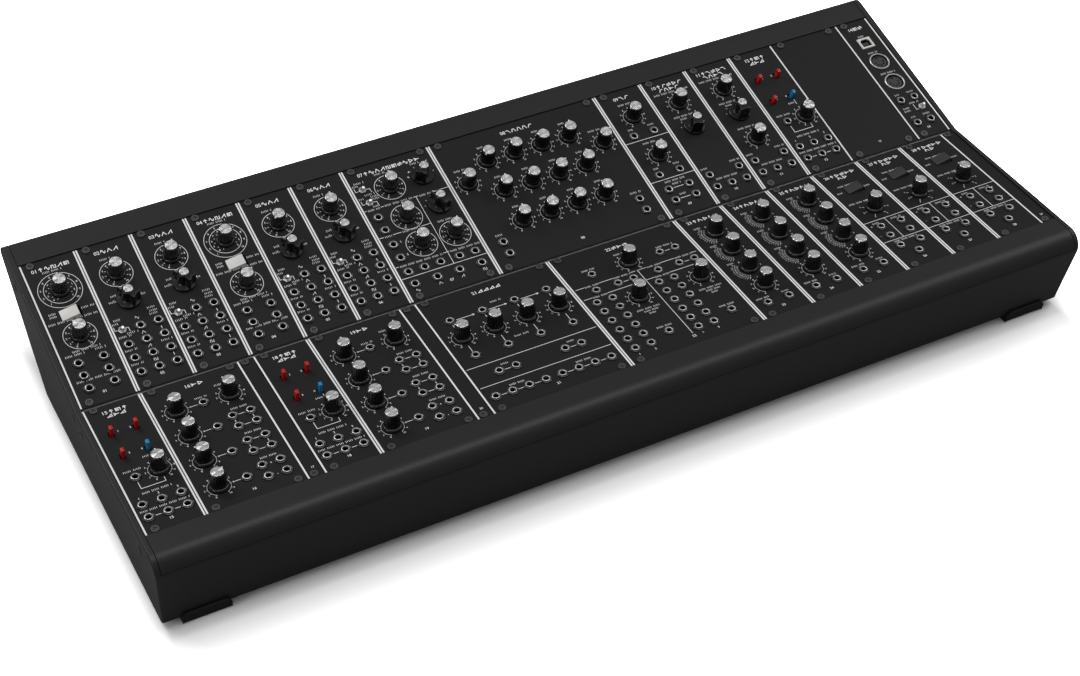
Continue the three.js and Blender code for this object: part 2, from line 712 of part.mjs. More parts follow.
function addModule(rowFrame, name, layout, left) {
  const width = layout.pitches * pitch;
  const at = (geometry, [x, up], out = 0) => geometry.translate(x * width, up * panelHeight, out);
  const bodies = [block([panelGap / 2, 0, -panelThickness], [width - panelGap / 2, panelHeight, 0])];
  const cutters = [];
  if (layout.jackShares.length) {
    bodies.push(block([boardInset, boardMargin, -panelThickness - boardDepth],
      [width - boardInset, panelHeight - boardMargin, -panelThickness / 2]));
  }
  layout.jackShares.forEach((share) => {
    bodies.push(at(drum(jackNutRadius, -weld, jackNutHeight, jackNutSides), share));
    cutters.push(at(drum(jackBoreRadius, -jackBoreDepth, jackNutHeight + weld, jackBoreSides), share));
  });
  const sockets = [...(layout.roundSocketShares ?? []).map((share) => [roundSocket(), share]),
    ...(layout.squareSocketShares ?? []).map((share) => [squareSocket(), share])];
  sockets.forEach(([socket, share]) => {
    bodies.push(at(socket.gains, share));
    cutters.push(at(socket.loses, share));
  });
  Object.entries(layout.controlShares).forEach(([control, [kindName, x, up, material]]) => {
    const kind = kinds[kindName];
    const share = [x, up];
    kind.gains.forEach((gain) => bodies.push(at(gain(), share)));
    if (workingModules.includes(name)) {
      cutters.push(at(kind.loses(), share));
      const spot = [left + x * width, up * panelHeight, kind.pivot];
      place(rowFrame, `${name}_${control}`, kind.moving(), material ?? kind.material, spot, kind.turn);
    } else {
      const turned = kind.fixed().rotateX(kind.turn[0]).rotateY(kind.turn[1]);
      bodies.push(at(turned, share, kind.pivot));
    }
  });
  place(rowFrame, name, cutFrom(bodies, cutters), panelBlack, [left, 0, 0]);
}

// Assembly
place(deskFrame, 'case_shell', caseShell(), powderCoat);
place(deskFrame, 'front_rest', frontRest(), powderCoat);
place(deskFrame, 'rear_hood', rearHood(), powderCoat);
[['left', -footCentreX], ['right', footCentreX]].forEach(([side, x]) => {
  place(deskFrame, `foot_front_${side}`, foot(frontY, -1, frontLean, frontBottomRadius), rubberBlack, [x, 0, 0]);
  place(deskFrame, `foot_rear_${side}`, foot(rearY, 1, rearLean, rearBottomRadius), rubberBlack, [x, 0, 0]);
});
place(deskFrame, 'front_rail', rail(track('lower', railInset),
  [['lower', railInset + railWidth], ['lower', railInset]]), railAluminium);
place(deskFrame, 'middle_rail', rail([...track('lower', rearTrackLow), ...track('upper', railInset)],
  [['upper', railInset + railWidth], ['lower', rearTrackLow]]), railAluminium);
place(deskFrame, 'rear_rail', rail(track('upper', rearTrackLow),
  [['upper', rearTrackLow + railWidth], ['upper', rearTrackLow]]), railAluminium);
place(deskFrame, 'power_board', powerBoard(), boardGreen, [0, busCentreY, 0]);

const plateTop = seatGap + inletPlateThickness;
place(rearFrame, 'power_inlet', cutFrom([
  block([-inletPlateWidth / 2, -inletPlateHeight / 2, seatGap], [inletPlateWidth / 2, inletPlateHeight / 2, plateTop]),
  block([-inletBodyWidth / 2, -inletBodyHeight / 2, -inletBodyDepth],
    [inletBodyWidth / 2, inletBodyHeight / 2, plateTop - weld]),
  drum(inletJackRadius, 0, plateTop + inletJackProud, inletSides).translate(inletJackShift, 0, 0),
], [
  cutFrom([drum(inletJackBore, -inletJackDepth, plateTop + inletJackProud + weld, inletSides)],
    [drum(inletJackPin, -inletJackDepth - weld, plateTop, jackNutSides)]).translate(inletJackShift, 0, 0),
  rockerPocket().translate(switchShift, 0, plateTop),
]), plasticBlack);
place(rearFrame, 'power_switch', rocker(), plasticBlack, [switchShift, 0, plateTop - rockerPivotDepth],
  [0, rockerTilt, 0]);

Object.entries(rows).forEach(([row, modules]) => {
  const rowFrame = new THREE.Group();
  rowFrame.position.set(-rowWidth / 2, ...desk(row, 0, 0));
  rowFrame.rotation.x = row === 'upper' ? upperTilt : 0;
  deskFrame.add(rowFrame);
  let used = 0;
  modules.forEach(([name, layout]) => {
    addModule(rowFrame, name, layout, used);
    used += layout.pitches * pitch;
  });
});

export default synthesizer;
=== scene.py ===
import math

import bmesh
import bpy
from bpy.props import FloatProperty, FloatVectorProperty, IntProperty, PointerProperty
from mathutils import Matrix, Vector
from mathutils.geometry import tessellate_polygon


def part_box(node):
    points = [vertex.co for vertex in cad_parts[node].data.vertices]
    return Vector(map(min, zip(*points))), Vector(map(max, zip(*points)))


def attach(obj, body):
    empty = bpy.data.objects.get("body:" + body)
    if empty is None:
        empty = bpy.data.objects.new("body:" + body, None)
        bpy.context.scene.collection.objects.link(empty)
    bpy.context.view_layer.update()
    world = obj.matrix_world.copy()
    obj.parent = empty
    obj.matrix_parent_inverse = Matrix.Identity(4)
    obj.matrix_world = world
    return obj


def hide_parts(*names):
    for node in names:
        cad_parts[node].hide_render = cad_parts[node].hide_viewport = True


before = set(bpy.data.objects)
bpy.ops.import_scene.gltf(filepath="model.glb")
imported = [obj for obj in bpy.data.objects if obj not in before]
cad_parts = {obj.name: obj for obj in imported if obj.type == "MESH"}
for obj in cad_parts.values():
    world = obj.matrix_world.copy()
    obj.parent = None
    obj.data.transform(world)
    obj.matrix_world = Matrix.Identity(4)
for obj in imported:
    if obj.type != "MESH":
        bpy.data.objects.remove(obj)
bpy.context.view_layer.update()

# Modular synthesizer in a low two-row case, in metres, +Z up, front towards -Y.
# A place on a panel is a share of the module's width and of the panel's height.

bl_info = {
    "name": "Modular synthesizer",
    "version": (1, 0, 0),
    "blender": (4, 5, 0),
    "location": "3D View > Sidebar > Synth",
    "description": "Case, panels, controls and sockets of a two-row modular synthesizer",
    "category": "Add Mesh",
}

MM = 0.001


def linear(hex_code):
    """Turn an sRGB hex colour into the linear colour that a shader takes."""
    shares = [int(hex_code[i:i + 2], 16) / 255 for i in (1, 3, 5)]
    return [s / 12.92 if s <= 0.04045 else ((s + 0.055) / 1.055) ** 2.4 for s in shares] + [1.0]


def length(name, description, millimetres):
    """A size in metres, written in millimetres."""
    return FloatProperty(name=name, description=description, default=millimetres * MM, unit="LENGTH", precision=5)


def colour(name, description, hex_code):
    """A colour, written as sRGB hex."""
    return FloatVectorProperty(name=name, description=description, default=linear(hex_code),
                               size=4, min=0, max=1, subtype="COLOR")


def angle(name, description, degrees):
    """An angle, written in degrees."""
    return FloatProperty(name=name, description=description, default=math.radians(degrees), subtype="ANGLE")


# Sizes and colours a user would change


class CaseSizes(bpy.types.PropertyGroup):
    wall: length("Wall", "Thickness of the folded sheet", 2)
    rim: length("Rim", "Height of the case rim over the lower panels", 0.8)
    depth: length("Depth", "Depth of the case below the lower panels", 68)
    cheek: length("Cheek", "Thickness of a cheek at its rim", 4)
    cheek_gap: length("Cheek gap", "Clearance between a cheek and the row of panels", 0.4)
    cheek_round: length("Cheek edge", "Radius of the cheek's outer edge", 1.2)
    draft: length("Draft", "How far a cheek leans in from rim to floor", 2.6)
    seam: length("Seam", "Width of the seams round the front rest and the rear hood", 0.4)
    nose: length("Nose", "Radius of the rounded front rest", 12.5)
    rear_round: length("Rear edge", "Radius of the edge at the top of the rear hood", 8)
    front_lean: angle("Front lean", "Lean of the low front wall", 12.3)
    rear_lean: angle("Rear lean", "Lean of the rear wall", 26)
    front_foot: length("Front foot", "How far the front wall's foot lies in front of the panels", 14.5)
    hood: length("Hood", "Depth of the rear hood along its slope", 34)
    nose_seam: length("Nose seam", "Depth of the front rest's seam below the panels", 10.8)
    hood_seam: length("Hood seam", "Height of the rear hood's seam over the lower panels", 18)
    lap: length("Lap", "How far the front rest and the hood lap behind the wall", 7)
    lap_thickness: length("Lap thickness", "Thickness of that lap", 1.6)
    front_round: length("Front foot edge", "Radius of the edge at the foot of the front wall", 5)
    rear_foot_round: length("Rear foot edge", "Radius of the edge at the foot of the rear wall", 4)
    rail_screw: length("Rail screw", "Radius of the screws through the cheeks into the rails", 4)
    foot_length: length("Foot length", "Length of a rubber foot along the wall", 34)
    foot_width: length("Foot width", "How far a foot reaches under the floor", 22)
    foot_drop: length("Foot drop", "Height of the case over the table", 4)
    foot_proud: length("Foot proud", "Thickness of the foot where it laps up the wall", 1.8)
    foot_lap: length("Foot lap", "How far the foot laps up the wall", 6.5)
    foot_round: length("Foot corner", "Radius of the foot's upper corners", 5)
    inlet_x: length("Inlet place", "Place of the power inlet along the rear wall", -250)
    inlet_up: length("Inlet height", "Height of the power inlet over the floor of the case", 44)


class PanelSizes(bpy.types.PropertyGroup):
    edge: length("Panel edge", "Chamfer along the edge of a panel", 0.15)
    stripe: length("Stripe", "Width of the white stripe along a module's side", 1.15)
    line: length("Line", "Width of a printed line", 0.42)
    ink: length("Ink", "Height of the screen print over the panel", 0.05)
    screw: length("Screw", "Radius of a panel screw's head", 2.9)
    screw_height: length("Screw height", "Height of a panel screw's head", 1.1)


class JackSizes(bpy.types.PropertyGroup):
    collar: length("Collar", "Radius of the black collar", 4.2)
    ring: length("Ring", "Outer radius of the bright ring", 2.95)
    bore: length("Bore", "Radius of the hole a plug goes into", 1.85)
    height: length("Height", "Height of the bright ring over the panel", 1.5)


class KnobSizes(bpy.types.PropertyGroup):
    skirt: length("Skirt", "Radius at the foot of a knob", 6.9)
    body: length("Body", "Radius of the fluted body over the skirt", 5.95)
    rim: length("Rim", "Radius of the black rim round the cap", 5.3)
    cap: length("Cap", "Radius of the spun metal cap", 4.35)
    height: length("Height", "Height of a knob over the panel", 13.5)
    flutes: IntProperty(name="Flutes", description="Number of grooves round the body", default=18, min=6)


class SelectorSizes(bpy.types.PropertyGroup):
    skirt: length("Skirt", "Radius of a selector's skirt", 8.5)
    reach: length("Reach", "Length of the grip from its middle", 7.9)
    end: length("Grip end", "Half width of the grip at its broad end", 4.6)
    tip: length("Grip tip", "Half width of the grip at its pointing end", 1.1)
    waist: length("Waist", "Half width of the grip beside its hub", 3.4)
    hub: length("Hub", "Radius of the round hub that holds the cap", 4.6)
    slope: FloatProperty(name="Slope", description="Fall of the pointing end away from the hub", default=0.6)
    cap: length("Cap", "Radius of the spun metal cap", 3.3)
    height: length("Height", "Height of a selector over the panel", 14)


class SwitchSizes(bpy.types.PropertyGroup):
    rocker_width: length("Rocker width", "Width of a rocker", 13)
    rocker_length: length("Rocker length", "Length of a rocker", 9)
    rocker_rise: length("Rocker rise", "Height of a rocker's face over its pivot's level", 2)
    lever_width: length("Lever width", "Width of a paddle lever", 2.4)
    lever_depth: length("Lever depth", "Thickness of a paddle lever", 3.3)
    lever_height: length("Lever height", "Height of a paddle lever over the panel", 8)
    nut: length("Toggle nut", "Radius of a toggle's nut across its corners", 3.2)
    bat: length("Toggle bat", "Radius of a toggle's bat at its tip", 1.15)


class SocketSizes(bpy.types.PropertyGroup):
    round_ring: length("Round ring", "Outer radius of a round socket's ring", 8.4)
    round_core: length("Round core", "Radius of the insert with five holes", 5.9)
    square_width: length("Square width", "Width of the square socket", 11.8)
    square_height: length("Square height", "Height of the square socket", 10.8)


class Finishes(bpy.types.PropertyGroup):
    case: colour("Case", "Powder coat of the case", "#1d1d1e")
    panel: colour("Panel", "Paint of the panels", "#151516")
    ink: colour("Ink", "Screen print", "#f2f2f2")
    black: colour("Black", "Black moulded plastic", "#0a0a0b")
    white: colour("White", "White moulded plastic", "#d6d5d1")
    red: colour("Red", "Red moulded plastic", "#bd120f")
    blue: colour("Blue", "Blue moulded plastic", "#0881b4")
    grey: colour("Grey", "Dark grey socket inserts and rockers", "#29292b")
    steel: colour("Steel", "Bright steel and nickel", "#d9dadb")
    aluminium: colour("Aluminium", "Spun and drawn aluminium", "#f6f6f6")
    rubber: colour("Rubber", "Rubber of the feet", "#121212")
    board: colour("Board", "Solder mask of the power board", "#1f5a36")


class StageLook(bpy.types.PropertyGroup):
    floor: colour("Floor", "Floor under the synthesizer, as the object sees it", "#8f8f8f")
    # Near and far scale the floor colour the camera sees: near stays low next to the case, a painted shade round it
    near: FloatProperty(name="Floor near", description="Share of the light that the camera sees near the case",
                        default=1.15)
    far: FloatProperty(name="Floor far", description="Share of the light that the camera sees far out", default=4)
    front: FloatProperty(name="Front", description="Power of the wide lamp over the front", default=15, unit="POWER")
    rear: FloatProperty(name="Rear", description="Power of the lamp behind on the left", default=12, unit="POWER")
    right: FloatProperty(name="Right", description="Power of the lamp on the right", default=8, unit="POWER")
    left: FloatProperty(name="Left", description="Power of the small lamp low on the left", default=3, unit="POWER")
    fill: FloatProperty(name="Fill", description="Strength of the even light from all round", default=0.28)


GROUPS = {
    "synth_case": CaseSizes, "synth_panel": PanelSizes, "synth_jack": JackSizes, "synth_knob": KnobSizes,
    "synth_selector": SelectorSizes, "synth_switch": SwitchSizes, "synth_socket": SocketSizes,
    "synth_finish": Finishes, "synth_stage": StageLook,
}


def sizes(group):
    """The property group of that name on this scene."""
    return getattr(bpy.context.scene, group)


# Rows of panels, measured on the frame

flat_low, flat_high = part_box("blank_panel_1")
tilted_low, tilted_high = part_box("blank_panel_wide")
PITCH = 5.08 * MM
PANEL_GAP = 0.4 * MM
PANEL_HEIGHT = flat_high.y - flat_low.y
PANEL_THICKNESS = flat_high.z - flat_low.z
TILT = (math.asin((tilted_high.z - tilted_low.z) / math.hypot(PANEL_HEIGHT, PANEL_THICKNESS))
        - math.atan2(PANEL_THICKNESS, PANEL_HEIGHT))
LOWER = Matrix.Translation((0, flat_low.y, flat_high.z))
UPPER = Matrix.Translation((
    0,
    tilted_high.y - PANEL_HEIGHT * math.cos(TILT) - PANEL_THICKNESS * math.sin(TILT),
    tilted_high.z - PANEL_HEIGHT * math.sin(TILT),
)) @ Matrix.Rotation(TILT, 4, "X")


def grid(columns, rows):
    """Every crossing of the columns and rows."""
    return [(x, up) for x in columns for up in rows]


# Layouts: jacks, controls and print of each kind of module, in shares. A control is its kind, its place and its dial,
# pointer angle or colour. A scale is its left and right end and its height. A line is its two ends.
MIXER_ROWS = (0.778, 0.571, 0.364, 0.157)
BANK_PLACES = grid((0.257, 0.419, 0.581, 0.743), (0.776, 0.539, 0.302))
ATTENUATOR_COLUMNS = (0.143, 0.381, 0.619, 0.857)
MIXER_GROUPS = ((0.612, 0.525), (0.405, 0.318), (0.2, 0.112))

LAYOUTS = {
    "driver": {
        "pitches": 8, "titles": [["lift", "sine", "square", "ramp", "pulses"]],
        "jacks": grid((0.281, 0.719), (0.277, 0.192, 0.107)),
        "controls": {
            "frequency_knob": ("knob", 0.5, 0.772, "double"), "range_rocker": ("rocker", 0.5, 0.603, "white"),
            "width_knob": ("knob", 0.5, 0.451, "circle"),
        },
        "scales": [(0.34, 0.66, 0.912), (0.15, 0.28, 0.63), (0.15, 0.28, 0.61), (0.71, 0.92, 0.618),
                   (0.08, 0.92, 0.564),
                   (0.27, 0.74, 0.356), (0.12, 0.44, 0.336), (0.64, 0.81, 0.336), (0.13, 0.87, 0.162)],
    },
    "oscillator": {
        "pitches": 8, "titles": [["sine", "triangle", "ramp"]],
        "jacks": grid((0.182,), (0.297, 0.202, 0.107)) + grid((0.5, 0.818), (0.393, 0.297, 0.202, 0.107)),
        "controls": {
            "frequency_knob": ("knob", 0.5, 0.772, "circle"), "range_selector": ("selector", 0.5, 0.578, -39),
            "drive_toggle": ("toggle", 0.182, 0.398, 0),
        },
        "scales": [(0.33, 0.5, 0.885), (0.24, 0.32, 0.629), (0.17, 0.28, 0.591), (0.75, 0.8, 0.591),
                   (0.73, 0.88, 0.49), (0.75, 0.87, 0.467), (0.73, 0.88, 0.447), (0.11, 0.24, 0.47),
                   (0.06, 0.15, 0.447),
                   (0.24, 0.42, 0.368), (0.08, 0.28, 0.353), (0.08, 0.28, 0.26), (0.08, 0.28, 0.165),
                   (0.72, 0.9, 0.26)],
        "waves": [("sine", 0.5, 0.451), ("triangle", 0.5, 0.348), ("ramp", 0.5, 0.254), ("square", 0.5, 0.159)],
        "lines": [((0.818, 0.335), (0.818, 0.352)), ((0.818, 0.15), (0.818, 0.166)),
                  ((0.06, 0.43), (0.06, 0.405)), ((0.06, 0.405), (0.1, 0.405)), ((0.25, 0.41), (0.3, 0.405)),
                  ((0.3, 0.405), (0.3, 0.382))],
    },
    "wide_oscillator": {
        "pitches": 14,
        "titles": [["lift", "sine", "triangle", "ramp", "square", "pulses", "swap", "sine", "gain", "sum"]],
        "jacks": (grid((0.126,), (0.613, 0.515, 0.404, 0.305)) + grid((0.126, 0.306, 0.485, 0.698, 0.874), (0.198,))
                  + grid((0.126, 0.375, 0.625, 0.874), (0.11,))),
        "controls": {
            "upper_toggle": ("toggle", 0.121, 0.83, 0), "lower_toggle": ("toggle", 0.121, 0.729, 0),
            "scale_knob": ("knob", 0.407, 0.798, "circle"), "frequency_knob": ("knob", 0.407, 0.563, "circle"),
            "width_knob": ("knob", 0.407, 0.358, "circle"), "level_knob": ("knob", 0.786, 0.358, "circle"),
            "range_selector": ("selector", 0.786, 0.805, 40), "wave_selector": ("selector", 0.786, 0.576, -27),
        },
        "scales": [(0.07, 0.17, 0.886), (0.04, 0.09, 0.868), (0.12, 0.22, 0.79), (0.17, 0.24, 0.769),
                   (0.04, 0.08, 0.771),
                   (0.17, 0.24, 0.751), (0.14, 0.22, 0.698), (0.32, 0.43, 0.912), (0.73, 0.82, 0.912),
                   (0.07, 0.19, 0.678), (0.26, 0.56, 0.681), (0.65, 0.77, 0.678), (0.09, 0.16, 0.471),
                   (0.29, 0.48, 0.471), (0.68, 0.83, 0.466), (0.08, 0.54, 0.248), (0.64, 0.96, 0.248)],
        "numbers": [("1", 0.215, 0.412), ("5", 0.215, 0.316), ("4", 0.67, 0.862), ("8", 0.64, 0.827)],
        "waves": [("sine", 0.126, 0.066), ("triangle", 0.375, 0.066), ("ramp", 0.625, 0.066),
                  ("square", 0.874, 0.066)],
        "lines": [((a, up), (b, up)) for a, b, up in (
            (0.03, 0.05, 0.681), (0.21, 0.24, 0.681), (0.58, 0.63, 0.681), (0.79, 0.97, 0.681), (0.03, 0.07, 0.473),
            (0.18, 0.27, 0.473), (0.5, 0.6, 0.473), (0.03, 0.06, 0.251), (0.56, 0.62, 0.251), (0.03, 0.97, 0.163))]
        + [((0.606, 0.163), (0.606, 0.681))]
        + [line for up in (0.83, 0.729) for line in (
            ((0.045, up + 0.025), (0.045, up)), ((0.045, up), (0.07, up)), ((0.17, up), (0.2, up)),
            ((0.2, up), (0.205, up - 0.027)))],
    },
    "filter_bank": {
        "pitches": 28, "titles": [["low", "band", "band", "band", "high"]],
        "jacks": grid((0.098, 0.902), (0.198, 0.112)),
        "controls": {
            "low_pass_knob": ("knob", 0.096, 0.659, "scale"), "high_pass_knob": ("knob", 0.904, 0.659, "scale"),
            **{f"band_{i + 1}_knob": ("knob", x, up, "scale") for i, (x, up) in enumerate(BANK_PLACES)},
        },
        "scales": [(0.06, 0.12, 0.766), (0.86, 0.925, 0.766), (0.078, 0.12, 0.252), (0.873, 0.93, 0.252)]
        + [(x - 0.012, x + 0.018, up + 0.108) for x, up in BANK_PLACES],
    },
    "filter_pair": {
        "pitches": 8, "titles": [["low", "high"]],
        "jacks": grid((0.281, 0.719), (0.637, 0.315, 0.199, 0.113)),
        "controls": {"upper_knob": ("knob", 0.5, 0.778, "scale"), "lower_knob": ("knob", 0.5, 0.454, "scale")},
        "scales": [(0.36, 0.6, 0.886), (0.36, 0.6, 0.565), (0.25, 0.33, 0.69), (0.67, 0.78, 0.69),
                   (0.25, 0.33, 0.368),
                   (0.67, 0.78, 0.368), (0.3, 0.7, 0.255), (0.42, 0.58, 0.23), (0.43, 0.57, 0.146)],
        "lines": [((0.03, 0.596), (0.97, 0.596)), ((0.03, 0.277), (0.97, 0.277)), ((0.4, 0.203), (0.6, 0.203)),
                  ((0.4, 0.118), (0.6, 0.118))],
    },
    "high_pass_filter": {
        "pitches": 8, "titles": [["lift", "high", "swap", "gain", "high"], ["high", "band", "sum", "high"]],
        "jacks": grid((0.179, 0.821), (0.208, 0.113)) + [(0.5, 0.113)],
        "controls": {"cutoff_knob": ("knob", 0.5, 0.778, "scale"), "range_selector": ("selector", 0.5, 0.578, 18)},
        "scales": [(0.14, 0.86, 0.878), (0.24, 0.64, 0.679), (0.34, 0.46, 0.656), (0.09, 0.24, 0.263),
                   (0.72, 0.91, 0.263),
                   (0.26, 0.72, 0.167)],
    },
    "controller": {
        "pitches": 8, "titles": [["lift", "pulses", "lift"], ["wedge", "sum", "wedge"]],
        "jacks": [(0.288, 0.411)] + grid((0.179, 0.5, 0.821), (0.207, 0.112)),
        "controls": {
            "lever_1": ("lever", 0.269, 0.768, "red"), "lever_2": ("lever", 0.688, 0.768, "red"),
            "lever_3": ("lever", 0.269, 0.585, "red"), "lever_4": ("lever", 0.688, 0.585, "blue"),
            "attenuator_knob": ("knob", 0.7, 0.416, "scale"),
        },
        "scales": [(0.15, 0.43, 0.466), (0.55, 0.66, 0.535), (0.27, 0.74, 0.284), (0.1, 0.9, 0.163)],
        "numbers": [("1", 0.39, 0.777), ("2", 0.6, 0.777), ("3", 0.39, 0.597), ("4", 0.6, 0.597),
                    ("1", 0.179, 0.258), ("2", 0.5, 0.258), ("3", 0.821, 0.258)],
        "lines": [((0.7, 0.555), (0.7, 0.52)), ((0.288, 0.372), (0.288, 0.321)), ((0.288, 0.321), (0.7, 0.321)),
                  ((0.7, 0.321), (0.7, 0.35)), ((0.3, 0.113), (0.38, 0.113)), ((0.62, 0.113), (0.7, 0.113))],
    },
    "digital_interface": {
        "pitches": 6, "titles": [["pulses", "swap"]],
        "jacks": grid((0.292, 0.708), (0.308, 0.116)),
        "controls": {"mode_toggle": ("toggle", 0.708, 0.22, 0)},
        "scales": [(0.43, 0.57, 0.867), (0.37, 0.63, 0.722), (0.29, 0.71, 0.541), (0.24, 0.34, 0.357),
                   (0.61, 0.78, 0.357),
                   (0.2, 0.36, 0.24), (0.18, 0.38, 0.218), (0.24, 0.34, 0.166), (0.61, 0.78, 0.166),
                   (0.46, 0.72, 0.27)],
        "lines": [((0.53, 0.255), (0.53, 0.212)), ((0.53, 0.212), (0.6, 0.212))],
    },
    "mixer": {
        "pitches": 14, "titles": [["sum", "gain"]],
        "jacks": grid((0.493,), MIXER_ROWS) + grid((0.671, 0.85), [up for pair in MIXER_GROUPS for up in pair]),
        "controls": {
            "master_knob": ("knob", 0.764, 0.778, "scale"),
            **{f"input_{i + 1}_knob": ("knob", 0.225, up, "scale") for i, up in enumerate(MIXER_ROWS)},
        },
        "scales": [(0.44, 0.55, 0.825), (0.67, 0.73, 0.876)] + [(0.69, 0.84, up) for up in (0.664, 0.46, 0.251)],
        "numbers": [("+", 0.76, 0.2), ("-", 0.76, 0.112)],
        "lines": [((0.375, up), (0.435, up)) for up in MIXER_ROWS]
        + [((0.735, up), (0.786, up)) for pair in MIXER_GROUPS[:2] for up in pair]
        + [((x, low + 0.035), (x, high - 0.035)) for x in (0.671, 0.85) for high, low in MIXER_GROUPS[:2]],
    },
    "attenuators": {
        "pitches": 21, "titles": [["wedge", "wedge", "wedge", "wedge"]],
        "jacks": (grid(ATTENUATOR_COLUMNS, (0.781, 0.462)) + grid((0.21, 0.331, 0.688, 0.808), (0.29,))
                  + grid((0.083, 0.202, 0.321, 0.44, 0.559, 0.678, 0.797, 0.916), (0.118,))),
        "controls": {f"attenuator_{i + 1}_knob": ("knob", x, 0.623, "scale")
                     for i, x in enumerate(ATTENUATOR_COLUMNS)},
        "scales": [(0.468, 0.54, 0.827), (0.455, 0.55, 0.507), (0.25, 0.295, 0.335), (0.732, 0.775, 0.335),
                   (0.21, 0.31, 0.166), (0.69, 0.79, 0.166)],
        "lines": [((x, 0.742), (x, 0.725)) for x in ATTENUATOR_COLUMNS]
        + [((x, 0.548), (x, 0.498)) for x in ATTENUATOR_COLUMNS]
        + [((0.03, 0.375), (0.97, 0.375)), ((0.03, 0.21), (0.97, 0.21)), ((0.252, 0.29), (0.289, 0.29)),
           ((0.73, 0.29), (0.767, 0.29))]
        + [((x + 0.042, 0.118), (x + 0.077, 0.118)) for x in (0.083, 0.202, 0.321, 0.559, 0.678, 0.797)],
        "arrows": [(x + 0.045, 0.776) for x in ATTENUATOR_COLUMNS[:3]],
    },
    "interface": {
        "pitches": 21, "titles": [["swap", "sum", "swap"]],
        "jacks": ([(0.205, 0.78), (0.736, 0.781), (0.857, 0.781)]
                  + grid((0.152, 0.319, 0.438, 0.629, 0.795, 0.914), (0.645,))
                  + grid((0.093, 0.211, 0.569, 0.687), (0.547, 0.462, 0.377, 0.289, 0.203, 0.118))
                  + grid((0.376, 0.855), (0.161,))),
        "controls": {
            "master_knob": ("knob", 0.495, 0.782, "scale"), "left_knob": ("knob", 0.374, 0.486, "scale"),
            "right_knob": ("knob", 0.85, 0.486, "scale"),
        },
        "scales": [(0.16, 0.25, 0.827), (0.74, 0.86, 0.827), (0.44, 0.5, 0.876)]
        + [(x + a, x + b, up) for x in (0, 0.478) for a, b, up in (
            (0.1, 0.2, 0.695), (0.32, 0.44, 0.695), (0.1, 0.2, 0.597), (0.29, 0.465, 0.383), (0.33, 0.43, 0.361),
            (0.355, 0.405, 0.339), (0.32, 0.435, 0.21))],
        "numbers": [(text, x, 0.068) for x, text in ((0.093, "1"), (0.211, "2"), (0.569, "1"), (0.687, "2"))],
        "lines": [((x + a, up), (x + b, up)) for x in (0, 0.478) for a, b, up in (
            (0.03, 0.09, 0.698), (0.21, 0.31, 0.698), (0.45, 0.485, 0.698), (0.03, 0.09, 0.6), (0.21, 0.485, 0.6),
            (0.355, 0.4, 0.645))]
        + [((0.503, 0.087), (0.503, 0.698)), ((0.78, 0.781), (0.815, 0.781))],
    },
    "envelope": {
        "pitches": 8, "titles": [["lift", "stages", "gain", "stages", "sum"]],
        "jacks": grid((0.281, 0.719), (0.118,)),
        "controls": {
            "attack_knob": ("knob", 0.5, 0.793, "sector"), "decay_knob": ("knob", 0.5, 0.609, "sector"),
            "release_knob": ("knob", 0.5, 0.426, "sector"), "sustain_knob": ("knob", 0.5, 0.26, "scale"),
        },
        "scales": [(0.14, 0.38, 0.165), (0.66, 0.78, 0.165), (0.2, 0.34, 0.872), (0.2, 0.34, 0.688),
                   (0.2, 0.34, 0.505)],
    },
    "amplifier": {
        "pitches": 8, "titles": [["lift", "gain", "swap", "sum", "gain"], ["stages", "gain"]],
        "jacks": grid((0.281, 0.719), (0.401, 0.307, 0.206)) + [(0.5, 0.121)],
        "controls": {"response_rocker": ("rocker", 0.5, 0.782, "black"), "gain_knob": ("knob", 0.5, 0.568, "coarse")},
        "scales": [(0.25, 0.7, 0.831), (0.13, 0.22, 0.776), (0.72, 0.83, 0.776), (0.13, 0.53, 0.654),
                   (0.19, 0.33, 0.441), (0.59, 0.79, 0.441), (0.25, 0.72, 0.248)],
        "numbers": [("+", 0.12, 0.421), ("-", 0.12, 0.327), ("+", 0.83, 0.421), ("-", 0.83, 0.327)],
        "lines": [((0.03, 0.464), (0.97, 0.464)), ((0.03, 0.265), (0.97, 0.265)), ((0.485, 0.265), (0.485, 0.464))],
    },
    "blank_panel": {"pitches": 2, "jacks": [], "controls": {}},
    "blank_panel_wide": {"pitches": 12, "jacks": [], "controls": {}},
}
HIGH_PASS = LAYOUTS["high_pass_filter"]
LAYOUTS["low_pass_filter"] = {
    **HIGH_PASS,
    "titles": [["lift", "low", "swap", "gain", "low"], ["low", "band", "sum", "low"]],
    "controls": {**HIGH_PASS["controls"], "range_selector": ("selector", 0.5, 0.578, 5),
                 "regeneration_knob": ("knob", 0.5, 0.36, "scale")},
    "scales": HIGH_PASS["scales"] + [(0.27, 0.62, 0.463)],
}
LAYOUTS["control_voltages"] = LAYOUTS["controller"]

# Every module from left to right with the frame of its row. Its name without a number is the name of its layout.
MODULES = {name: row for row, names in (
    (UPPER, ("driver_1", "oscillator_1", "oscillator_2", "driver_2", "oscillator_3", "oscillator_4",
             "wide_oscillator", "filter_bank", "filter_pair", "high_pass_filter", "low_pass_filter",
             "control_voltages", "blank_panel_wide", "digital_interface")),
    (LOWER, ("controller_1", "mixer_1", "blank_panel_1", "controller_2", "mixer_2", "blank_panel_2", "attenuators",
             "interface", "envelope_1", "envelope_2", "envelope_3", "amplifier_1", "amplifier_2", "amplifier_3",
             "blank_panel_3")),
) for name in names}
ROUND_SOCKETS = ((0.5, 0.64), (0.5, 0.458))
SQUARE_SOCKET = (0.5, 0.805)


